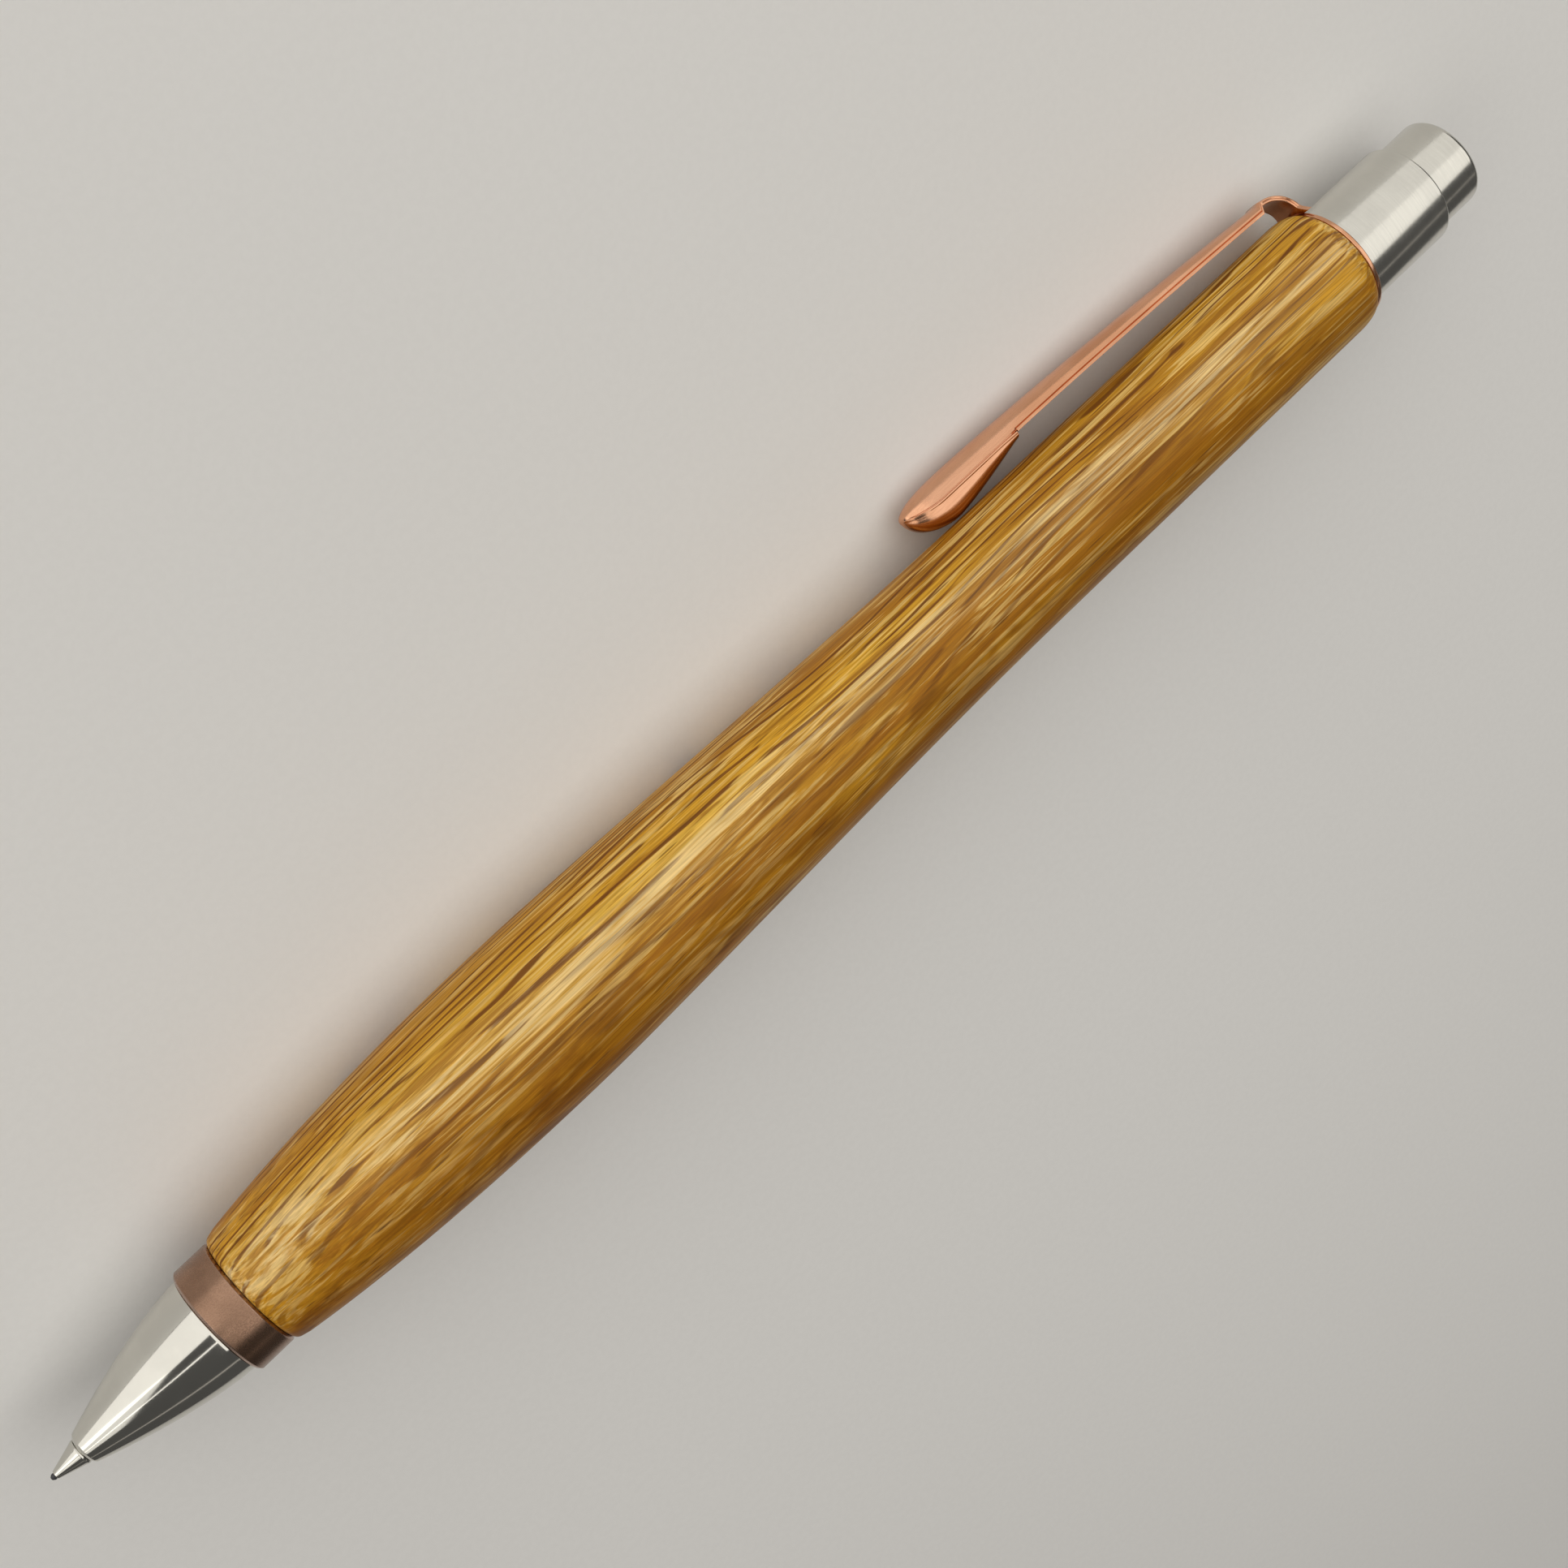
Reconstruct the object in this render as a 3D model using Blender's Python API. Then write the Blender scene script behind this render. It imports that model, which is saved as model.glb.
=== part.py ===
"""Wood-barrelled mechanical pencil, modelled as its separate pieces.

Metres, +Z up. The pencil lies on its side: its axis runs level along X with the writing tip
at -X, the fattest part of the barrel rests on z = 0, and the pocket clip points down and
out to the +Y side. The origin is at the middle of the bounding box, on the surface.

Sizes below are millimetres and are turned into metres as each mesh is made. A "station" is
a distance from the writing tip along the axis, and turned profiles are (station, radius).
"""

import math

import bmesh
import bpy
from mathutils import Matrix, Vector

MM = 0.001

# ---- Driving dimensions -------------------------------------------------------------------
LENGTH = 144.6          # writing tip to end of push button
BELLY_RADIUS = 6.58     # fattest part of the wood barrel
LEAD_RADIUS = 0.25
LEAD_LENGTH = 60.0

CONE_FRONT = 2.75       # seam between lead guide and front cone
CONE_REAR = 14.78
RING_FRONT = 14.85      # trim ring
RING_REAR = 17.95
WOOD_FRONT = 18.0
WOOD_REAR = 130.95
WASHER_FRONT = 131.02   # flat ring of the clip
WASHER_REAR = 131.42
FERRULE_REAR = 140.2

CONE_RADIUS = 4.12
RING_RADIUS = 4.56
WOOD_FRONT_RADIUS = 4.8
BELLY_STATION = 46.5
WAIST_RADIUS = 5.45
WAIST_RUN = 49.0        # length over which the belly falls to the waist
WASHER_RADIUS = 5.0
FERRULE_RADIUS = 4.45
BUTTON_RADIUS = 3.9
TANK_RADIUS = 1.9
SPIGOT_RADIUS = 3.3     # threaded rear of the front cone
SPIGOT_REAR = 22.0
BUSH_RADIUS = 3.85      # brass bushes glued into the wood
BUSH_FRONT = 15.0
LINER_RADIUS = 3.0
FRONT_STEP = 27.1       # ends of the wood's narrow bore, which holds the liner
REAR_STEP = 115.9
TAIL_SPIGOT_RADIUS = 3.0
TAIL_SPIGOT_FRONT = 120.0
BUTTON_FRONT = 137.0

SHEET = 0.38            # clip sheet thickness
CLIP_DROP = math.radians(34.0)  # the clip points this far below level
CLIP_TIP = 90.4
CLIP_HALF_WIDTH = 1.75
CLIP_NECK_HALF_WIDTH = 1.45
CLIP_PEAK = 95.6        # station where the clip stands furthest out
CLIP_PEAK_REACH = 9.3
CLIP_SEAM = 7.55        # height above the axis of the fold line of the clip's foot
CLIP_FOOT_REAR = 101.6
CLIP_KINK = 129.4       # where the arched arm ends and the flat neck begins
CLIP_HINGE_REACH = 5.42

FIT = 0.07              # clearance between pieces that are pressed or glued together
END_GAP = 0.1           # gap left past the end of a piece that sits in a bore
SEGMENTS = 40           # facets of the large turned pieces
FINE_SEGMENTS = 20      # facets of the small turned pieces

# ---- Mechanism ----------------------------------------------------------------------------
STOP_SHOULDER = 10.4    # step inside the cone that stops the clutch ring
JAW_FRONT = 11.2
JAW_ROOT = 18.0
JAW_HINGE = 17.8
JAW_HINGE_RADIUS = 0.5
SPRING_FRONT = 21.15
SPRING_REAR = 32.85
CONNECTOR_FRONT = 33.0
TANK_FRONT = 38.2
TANK_REAR = 140.5
TANK_WALL = 0.3
COLLET_RADIUS = 1.05
COLLET_REAR = 36.1
SLEEVE_RADIUS = 2.4     # brass sleeve that the clutch works in
SLEEVE_BORE = 1.95
SLEEVE_FLANGE_REAR = 23.15

# ---- Where the axis lies ------------------------------------------------------------------
ARCH_DEPTH = 1.78       # height of the clip's arched section where it is deepest
AXIS_Z = BELLY_RADIUS
CLIP_SIDE_REACH = (CLIP_PEAK_REACH - ARCH_DEPTH) * math.cos(CLIP_DROP) + math.hypot(
    ARCH_DEPTH * math.cos(CLIP_DROP), CLIP_HALF_WIDTH * math.sin(CLIP_DROP)
)
AXIS_Y = (BELLY_RADIUS - CLIP_SIDE_REACH) / 2


def place(station, outward=0.0, across=0.0, angle=-CLIP_DROP):
    """World point in metres: outward from the axis at this angle, and across it."""
    y = AXIS_Y + outward * math.cos(angle) - across * math.sin(angle)
    z = AXIS_Z + outward * math.sin(angle) + across * math.cos(angle)
    return Vector(((station - LENGTH / 2) * MM, y * MM, z * MM))


# ---- Materials ----------------------------------------------------------------------------
def material(name, colour, metallic, roughness):
    mat = bpy.data.materials.new(name)
    mat.use_nodes = True
    shader = mat.node_tree.nodes["Principled BSDF"]
    shader.inputs["Base Color"].default_value = (*colour, 1.0)
    shader.inputs["Metallic"].default_value = metallic
    shader.inputs["Roughness"].default_value = roughness
    mat.diffuse_color = (*colour, 1.0)
    return mat


# ---- Mesh builders ------------------------------------------------------------------------
def finish_mesh(name, bm, origin, finish):
    """Make an object whose mesh is given in world metres and whose origin is `origin`."""
    bmesh.ops.recalc_face_normals(bm, faces=bm.faces)
    if bm.calc_volume(signed=True) < 0:
        bmesh.ops.reverse_faces(bm, faces=bm.faces)
    bm.transform(Matrix.Translation(-origin))
    mesh = bpy.data.meshes.new(name)
    bm.to_mesh(mesh)
    bm.free()
    mesh.shade_smooth()
    mesh.set_sharp_from_angle(angle=math.radians(32))
    obj = bpy.data.objects.new(name, mesh)
    obj.location = origin
    obj.data.materials.append(material(name, *finish))
    bpy.context.collection.objects.link(obj)
    return obj


def turned(name, profile, finish, segments=FINE_SEGMENTS, parent=None):
    """Revolve a closed (station, radius) outline about the pencil's axis."""
    bm = bmesh.new()
    first = [bm.verts.new(place(s, r, angle=-math.pi / 2)) for s, r in profile]
    edges = [bm.edges.new(pair) for pair in zip(first, first[1:])]
    on_axis = profile[0][1] == 0 and profile[-1][1] == 0
    if not on_axis:
        edges.append(bm.edges.new((first[-1], first[0])))
    bmesh.ops.spin(
        bm, geom=first + edges, cent=place(0), axis=(1, 0, 0), angle=2 * math.pi,
        steps=segments, use_merge=True,
    )
    bmesh.ops.remove_doubles(bm, verts=bm.verts, dist=1e-8)
    obj = finish_mesh(name, bm, place(profile[0][0]), finish)
    if parent:
        keep_in_place(obj, parent)
    return obj


def loft(bm, sections):
    """Skin closed loops of equal length, with a flat cap at each end."""
    loops = [[bm.verts.new(p) for p in section] for section in sections]
    for a, b in zip(loops, loops[1:]):
        for i in range(len(a)):
            j = (i + 1) % len(a)
            bm.faces.new((a[i], a[j], b[j], b[i]))
    bm.faces.new(loops[0])
    bm.faces.new(loops[-1])


def keep_in_place(obj, parent):
    """Parent without moving, so that the piece's location stays its world place."""
    bpy.context.view_layer.update()
    obj.parent = parent
    obj.matrix_parent_inverse = parent.matrix_world.inverted()


def arc(centre, radius, start, end, steps):
    """Points of a circular arc as (station, radius), angles in degrees."""
    points = []
    for i in range(steps + 1):
        a = math.radians(start + (end - start) * i / steps)
        points.append((centre[0] + radius * math.cos(a), centre[1] + radius * math.sin(a)))
    return points


# ---- Finishes: colour, metallic, roughness ------------------------------------------------
STEEL = ((0.72, 0.72, 0.70), 1.0, 0.12)
SATIN_BRONZE = ((0.42, 0.27, 0.21), 1.0, 0.38)
COPPER = ((0.86, 0.52, 0.38), 1.0, 0.26)
WOOD = ((0.56, 0.31, 0.08), 0.0, 0.42)
BRASS = ((0.78, 0.58, 0.25), 1.0, 0.3)
SPRING_STEEL = ((0.6, 0.6, 0.58), 1.0, 0.25)
CLEAR_PLASTIC = ((0.72, 0.74, 0.74), 0.0, 0.3)
WHITE_PLASTIC = ((0.8, 0.8, 0.78), 0.0, 0.45)
BLACK_RUBBER = ((0.03, 0.03, 0.03), 0.0, 0.8)
ERASER_RUBBER = ((0.85, 0.84, 0.8), 0.0, 0.85)
TIN = ((0.66, 0.66, 0.64), 1.0, 0.3)
GRAPHITE = ((0.05, 0.05, 0.055), 0.3, 0.45)


# ---- Nose ---------------------------------------------------------------------------------
CONE_CURVE_START = CONE_FRONT + 0.23
CONE_CURVE_START_RADIUS = 1.33


def cone_radius(station):
    """Bullet-shaped outside of the front cone, flattening towards the trim ring."""
    t = (station - CONE_CURVE_START) / (CONE_REAR - CONE_CURVE_START)
    rise = CONE_RADIUS - CONE_CURVE_START_RADIUS
    return CONE_CURVE_START_RADIUS + rise * (1 - (1 - t) ** 1.5)


def build_nose():
    bevel = 0.16
    ring = turned(
        "trim_ring",
        [
            (RING_FRONT, BUSH_RADIUS + FIT),
            (RING_FRONT, RING_RADIUS - bevel),
            (RING_FRONT + bevel, RING_RADIUS),
            (RING_REAR - bevel, RING_RADIUS),
            (RING_REAR, RING_RADIUS - bevel),
            (RING_REAR, BUSH_RADIUS + FIT),
        ],
        SATIN_BRONZE, SEGMENTS,
    )

    steps = 10
    run = CONE_REAR - CONE_CURVE_START
    curve = [CONE_CURVE_START + run * i / steps for i in range(steps + 1)]
    face_radius = 1.08
    guide_bore, pocket_bore, stop_bore, spigot_bore = 0.86, 1.3, 2.1, 2.5
    pocket_front, pocket_rear = 4.6, 7.6    # pocket of the lead retainer
    cone = turned(
        "front_cone",
        [(CONE_FRONT, guide_bore), (CONE_FRONT, face_radius)]
        + [(s, cone_radius(s)) for s in curve]
        + [
            (CONE_REAR, SPIGOT_RADIUS),
            (SPIGOT_REAR, SPIGOT_RADIUS),
            (SPIGOT_REAR, spigot_bore),
            (STOP_SHOULDER, spigot_bore),
            (STOP_SHOULDER, stop_bore),
            (pocket_rear, stop_bore),
            (pocket_rear, pocket_bore),
            (pocket_front, pocket_bore),
            (pocket_front, guide_bore),
        ],
        STEEL, SEGMENTS, ring,
    )

    lead_bore = LEAD_RADIUS + 0.05
    mouth, guide_rear = 0.38, 4.4           # the lead stands out of the mouth
    collar_front, collar_rear, collar_radius = 2.35, CONE_FRONT - FIT, 1.03
    guide_radius = guide_bore - 0.06
    turned(
        "lead_guide",
        [
            (mouth, lead_bore),
            (mouth, lead_bore + 0.02),
            (collar_front, collar_radius - 0.08),
            (collar_rear - 0.12, collar_radius),
            (collar_rear, collar_radius - 0.03),
            (collar_rear, guide_radius),
            (guide_rear, guide_radius),
            (guide_rear, lead_bore),
        ],
        STEEL, parent=cone,
    )

    front, rear, radius, chamfer = 4.75, 7.2, 1.22, 0.12
    turned(
        "lead_retainer",
        [
            (front, lead_bore),
            (front, radius - chamfer),
            (front + chamfer, radius),
            (rear - 0.1, radius),
            (rear, radius - 0.1),
            (rear, lead_bore),
        ],
        BLACK_RUBBER, parent=cone,
    )


# ---- Barrel -------------------------------------------------------------------------------
def wood_radius(station):
    """Outside of the barrel: a full belly near the front that falls to a long slim waist."""
    if station <= BELLY_STATION:
        t = (BELLY_STATION - station) / (BELLY_STATION - WOOD_FRONT)
        return BELLY_RADIUS - (BELLY_RADIUS - WOOD_FRONT_RADIUS) * (0.75 * t ** 2 + 0.25 * t ** 4)
    t = min(1.0, (station - BELLY_STATION) / WAIST_RUN)
    fall = (t * t * (3 - 2 * t)) ** 0.75
    return BELLY_RADIUS - (BELLY_RADIUS - WAIST_RADIUS) * fall


def build_barrel():
    edge = 0.5                      # rounding of the front edge
    rim, rim_drop = 1.8, 0.52       # length and height of the softer rear rounding
    outline = arc((WOOD_FRONT + edge, wood_radius(WOOD_FRONT) - edge), edge, 180, 105, 3)
    steps = 18
    first, last = WOOD_FRONT + 1.0, WOOD_REAR - rim
    for i in range(steps):
        t = i / steps
        station = first + (last - first) * (0.65 * t + 0.35 * t * t)
        outline.append((station, wood_radius(station)))
    for i in range(5):
        a = math.radians(21 * i)
        outline.append((last + rim * math.sin(a), WAIST_RADIUS - rim_drop * (1 - math.cos(a))))
    bush_bore = BUSH_RADIUS + FIT
    liner_bore = LINER_RADIUS + FIT
    bore = [
        (WOOD_REAR, WAIST_RADIUS - rim_drop),
        (WOOD_REAR, bush_bore),
        (REAR_STEP, bush_bore),
        (REAR_STEP, liner_bore),
        (FRONT_STEP, liner_bore),
        (FRONT_STEP, bush_bore),
        (WOOD_FRONT, bush_bore),
    ]
    wood = turned("wood_barrel", outline + bore, WOOD, SEGMENTS)

    front, rear = FRONT_STEP + END_GAP, REAR_STEP - END_GAP
    inner = LINER_RADIUS - 0.3
    turned(
        "barrel_liner",
        [(front, inner), (front, LINER_RADIUS), (rear, LINER_RADIUS), (rear, inner)],
        BRASS, SEGMENTS, wood,
    )

    front_bush_rear = FRONT_STEP - END_GAP
    spigot_bore = SPIGOT_RADIUS + 0.1
    flange_seat, sleeve_bore = SLEEVE_FLANGE_REAR + END_GAP, SLEEVE_RADIUS + 0.2
    turned(
        "front_bush",
        [
            (BUSH_FRONT, spigot_bore),
            (BUSH_FRONT, BUSH_RADIUS),
            (front_bush_rear, BUSH_RADIUS),
            (front_bush_rear, sleeve_bore),
            (flange_seat, sleeve_bore),
            (flange_seat, spigot_bore),
        ],
        BRASS, SEGMENTS, wood,
    )

    rear_bush_front, rear_bush_rear = REAR_STEP + END_GAP, WOOD_REAR - FIT
    rear_bore = TAIL_SPIGOT_RADIUS + FIT
    turned(
        "rear_bush",
        [
            (rear_bush_front, rear_bore),
            (rear_bush_front, BUSH_RADIUS),
            (rear_bush_rear, BUSH_RADIUS),
            (rear_bush_rear, rear_bore),
        ],
        BRASS, SEGMENTS, wood,
    )
    return wood


# ---- Tail ---------------------------------------------------------------------------------
def build_tail(wood, tank):
    shoulder = WASHER_REAR + FIT
    spigot_bore = 2.5
    cup_floor, cup_bore = 133.6, BUTTON_RADIUS + 0.09
    edge = 0.22
    turned(
        "tail_ferrule",
        [
            (TAIL_SPIGOT_FRONT, spigot_bore),
            (TAIL_SPIGOT_FRONT, TAIL_SPIGOT_RADIUS),
            (shoulder, TAIL_SPIGOT_RADIUS),
            (shoulder, FERRULE_RADIUS),
        ]
        + arc((FERRULE_REAR - edge, FERRULE_RADIUS - edge), edge, 90, 10, 3)
        + [(FERRULE_REAR, cup_bore), (cup_floor, cup_bore), (cup_floor, spigot_bore)],
        STEEL, SEGMENTS, wood,
    )

    button_bore, button_end = 3.35, LENGTH - 1.2
    edge = 0.45
    button = turned(
        "push_button",
        [(BUTTON_FRONT, button_bore), (BUTTON_FRONT, BUTTON_RADIUS)]
        + arc((LENGTH - edge, BUTTON_RADIUS - edge), edge, 90, 0, 4)
        + [(LENGTH, 0.0), (button_end, 0.0), (button_end, button_bore)],
        STEEL, SEGMENTS,
    )

    front, rear = BUTTON_FRONT + 0.4, button_end - END_GAP
    inner, outer = TANK_RADIUS + 0.08, button_bore - FIT
    turned(
        "button_sleeve",
        [(front, inner), (front, outer), (rear, outer), (rear, inner)],
        WHITE_PLASTIC, parent=button,
    )

    cup_front, cup_radius, wall, floor = 135.0, 1.5, 0.2, 0.3
    lip_front, lip_thickness, lip_radius = TANK_REAR + 0.08, 0.32, TANK_RADIUS - 0.04
    cup = turned(
        "eraser_cup",
        [
            (cup_front, 0.0),
            (cup_front, cup_radius),
            (lip_front, cup_radius),
            (lip_front, lip_radius),
            (lip_front + lip_thickness, lip_radius),
            (lip_front + lip_thickness, cup_radius - wall),
            (cup_front + floor, cup_radius - wall),
            (cup_front + floor, 0.0),
        ],
        TIN,
    )

    front, rear = cup_front + floor + END_GAP, 143.0
    radius, chamfer = cup_radius - wall - 0.08, 0.25
    turned(
        "eraser",
        [(front, 0.0), (front, radius), (rear - chamfer, radius), (rear, radius - 0.22), (rear, 0.0)],
        ERASER_RUBBER, parent=cup,
    )
    for piece in (button, cup):
        keep_in_place(piece, tank)


# ---- Clip ---------------------------------------------------------------------------------
def clip_top(station):
    """Height of the clip's crown above the axis."""
    if station >= CLIP_PEAK:
        fall, run = 1.75, 34.0      # the arm leans in towards the tail
        return CLIP_PEAK_REACH - fall * ((station - CLIP_PEAK) / run) ** 1.4
    tip_reach = 8.4
    t = (CLIP_PEAK - station) / (CLIP_PEAK - CLIP_TIP)
    return tip_reach + (CLIP_PEAK_REACH - tip_reach) * math.sqrt(max(0.0, 1 - t ** 3))


def clip_half_width(station):
    if station < CLIP_PEAK:
        t = (CLIP_PEAK - station) / (CLIP_PEAK - CLIP_TIP + 0.12)
        return CLIP_HALF_WIDTH * math.sqrt(1 - t ** 2.6)
    t = (station - CLIP_PEAK) / (CLIP_KINK - CLIP_PEAK)
    return CLIP_HALF_WIDTH + (CLIP_NECK_HALF_WIDTH - CLIP_HALF_WIDTH) * t * t


def foot_bottom(station):
    """Lowest line of the boat-shaped foot that grips the pocket."""
    lowest_station, lowest = 94.4, WAIST_RADIUS + 0.14
    if station > lowest_station:
        rear_rise = 1.45
        t = (station - lowest_station) / (CLIP_FOOT_REAR - lowest_station)
        return lowest + rear_rise * t ** 1.3
    tip_reach = 8.2
    t = (lowest_station - station) / (lowest_station - CLIP_TIP + 0.05)
    return tip_reach - (tip_reach - lowest) * math.sqrt(1 - t ** 2)


ARC_POINTS = 10             # spans across the clip's arched section


def arch(half_width, height):
    """(across, outward) points of a half ellipse, from one side to the other."""
    angles = [math.pi * i / ARC_POINTS for i in range(ARC_POINTS + 1)]
    return [(half_width * math.cos(a), height * math.sin(a)) for a in angles]


def foot_section(station):
    """Closed boat section: arched lid above the fold line, hull below it."""
    half = clip_half_width(station)
    top, bottom = clip_top(station), foot_bottom(station)
    margin = 0.12
    seam = min(max(CLIP_SEAM, bottom + margin), top - margin)
    lid = [(x, seam + h) for x, h in arch(half, top - seam)]
    hull = [(-x, seam - h) for x, h in arch(0.94 * half, seam - bottom)]
    return [place(station, out, across) for across, out in lid + hull]


def arm_section(station):
    """Channel section: the arched sheet, open towards the barrel."""
    half = clip_half_width(station)
    along = (station - CLIP_FOOT_REAR) / (CLIP_KINK - CLIP_FOOT_REAR)
    kink_depth = 0.95
    depth = ARCH_DEPTH + (kink_depth - ARCH_DEPTH) * along
    edge = clip_top(station) - depth
    outer = [(x, edge + h) for x, h in arch(half, depth)]
    inner = [(-x, edge + h) for x, h in arch(half - SHEET, depth - SHEET)]
    return [place(station, out, across) for across, out in outer + inner]


def neck_section(centre, tilt, half_width, crown):
    """Flat sheet section round the bend. Tilt 0 faces outward, 90 degrees faces the tail."""
    faces = []
    for side, flip in ((SHEET / 2, 1), (-SHEET / 2, -1)):
        for x, h in arch(half_width, crown):
            offset = side + h
            faces.append(place(
                centre[0] + offset * math.sin(tilt), centre[1] + offset * math.cos(tilt),
                flip * x,
            ))
    return faces


def build_clip(wood):
    bend_radius = 1.85
    neck_station = (WASHER_FRONT + WASHER_REAR) / 2
    bend_centre = (neck_station - bend_radius, clip_top(CLIP_KINK) - SHEET / 2 - bend_radius)

    stations = [CLIP_TIP + step for step in (0.02, 0.15, 0.45, 1.1, 2.0, 3.0, 4.0)]
    stations += [CLIP_PEAK + step for step in (0.0, 2.0, 4.0, 5.4)] + [CLIP_FOOT_REAR]
    sections = [foot_section(s) for s in stations]
    arm_steps = 8
    first, last = CLIP_FOOT_REAR + 0.12, CLIP_KINK - 0.5
    for i in range(arm_steps + 1):
        sections.append(arm_section(first + (last - first) * i / arm_steps))
    bend_steps = 7
    fan, neck_crown = 0.35, 0.12    # the neck widens and flattens round the bend
    for i in range(bend_steps + 1):
        t = i / bend_steps
        tilt = t * math.pi / 2
        centre = (bend_centre[0] + bend_radius * math.sin(tilt),
                  bend_centre[1] + bend_radius * math.cos(tilt))
        half = CLIP_NECK_HALF_WIDTH + fan * t
        sections.append(neck_section(centre, tilt, half, neck_crown * (1 - t)))
    hinge_gap = 0.04
    stub_half = CLIP_NECK_HALF_WIDTH + 0.8
    low = (neck_station, CLIP_HINGE_REACH + hinge_gap)
    sections.append(neck_section(low, math.pi / 2, stub_half - 0.05, 0.0))
    bm = bmesh.new()
    loft(bm, sections)
    arm = finish_mesh("clip_arm", bm, place(neck_station, CLIP_HINGE_REACH), COPPER)

    # Flat ring clamped behind the barrel, with the stub that the clip springs from.
    bm = bmesh.new()
    reach = math.sqrt(WASHER_RADIUS ** 2 - stub_half ** 2)
    start = math.atan2(stub_half, reach)
    rim_steps = 40
    rim = [(WASHER_RADIUS * math.sin(a), WASHER_RADIUS * math.cos(a)) for a in (
        start + (2 * math.pi - 2 * start) * i / rim_steps for i in range(rim_steps + 1))]
    stub = [(-stub_half, CLIP_HINGE_REACH - hinge_gap), (stub_half, CLIP_HINGE_REACH - hinge_gap)]
    hole_radius = TAIL_SPIGOT_RADIUS + FIT
    hole = [(hole_radius * math.sin(a), hole_radius * math.cos(a)) for a in (
        2 * math.pi * i / SEGMENTS for i in range(SEGMENTS))]
    edges = []
    for outline in (rim + stub, hole):
        verts = [bm.verts.new(place(WASHER_FRONT, out, across)) for across, out in outline]
        edges += [bm.edges.new((v, verts[i - 1])) for i, v in enumerate(verts)]
    filled = bmesh.ops.triangle_fill(bm, use_beauty=True, edges=edges)
    flat = [g for g in filled["geom"] if isinstance(g, bmesh.types.BMFace)]
    extruded = bmesh.ops.extrude_face_region(bm, geom=flat, use_keep_orig=True)
    moved = [g for g in extruded["geom"] if isinstance(g, bmesh.types.BMVert)]
    bmesh.ops.translate(bm, verts=moved, vec=((WASHER_REAR - WASHER_FRONT) * MM, 0, 0))
    ring = finish_mesh("clip_ring", bm, place(WASHER_FRONT), COPPER)
    keep_in_place(ring, wood)
    keep_in_place(arm, ring)


# ---- Lead clutch --------------------------------------------------------------------------
def jaw_outline():
    """Closed collet jaw: gripping head, taper, springy stem."""
    head, shoulder, stem = 1.22, 0.8, 0.72
    inner = LEAD_RADIUS + 0.03
    return [
        (JAW_FRONT, inner),
        (JAW_FRONT, head),
        (JAW_FRONT + 1.0, head),
        (JAW_FRONT + 2.0, shoulder),
        (JAW_FRONT + 2.3, stem),
        (JAW_ROOT, stem),
        (JAW_ROOT, inner),
    ]


def build_jaw(number, direction):
    """One third of the split collet, hinged where its stem joins the collet body."""
    half_angle = math.radians(54)
    steps = 6
    sections = []
    for i in range(steps + 1):
        angle = direction - half_angle + 2 * half_angle * i / steps
        sections.append([place(s, r, angle=angle) for s, r in jaw_outline()])
    bm = bmesh.new()
    loft(bm, sections)
    origin = place(JAW_HINGE, JAW_HINGE_RADIUS, angle=direction)
    return finish_mesh(f"collet_jaw_{number}", bm, origin, BRASS)


def build_spring():
    """Compression spring with closed ends, as a round wire along a helix."""
    turns, per_turn, closed_turns = 9.0, 18, 1.0
    mean_radius, wire_radius = 1.5, 0.17
    closed_pitch = 2 * wire_radius + 0.03
    low = SPRING_FRONT + wire_radius
    high = SPRING_REAR - wire_radius
    open_rise = high - low - 2 * closed_turns * closed_pitch
    count = int(turns * per_turn)
    curve = bpy.data.curves.new("chuck_spring", "CURVE")
    curve.dimensions = "3D"
    curve.bevel_depth = wire_radius * MM
    curve.bevel_resolution = 1
    curve.use_fill_caps = True
    spline = curve.splines.new("POLY")
    spline.points.add(count)
    origin = place(SPRING_FRONT)
    for i in range(count + 1):
        turn = i / per_turn
        middle = min(max(turn - closed_turns, 0.0), turns - 2 * closed_turns)
        ends = min(turn, closed_turns) + max(turn - (turns - closed_turns), 0.0)
        station = low + ends * closed_pitch + open_rise * middle / (turns - 2 * closed_turns)
        point = place(station, mean_radius, angle=2 * math.pi * turn) - origin
        spline.points[i].co = (*point, 1.0)
    obj = bpy.data.objects.new("chuck_spring", curve)
    obj.location = origin
    curve.materials.append(material("chuck_spring", *SPRING_STEEL))
    bpy.context.collection.objects.link(obj)
    return obj


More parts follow.
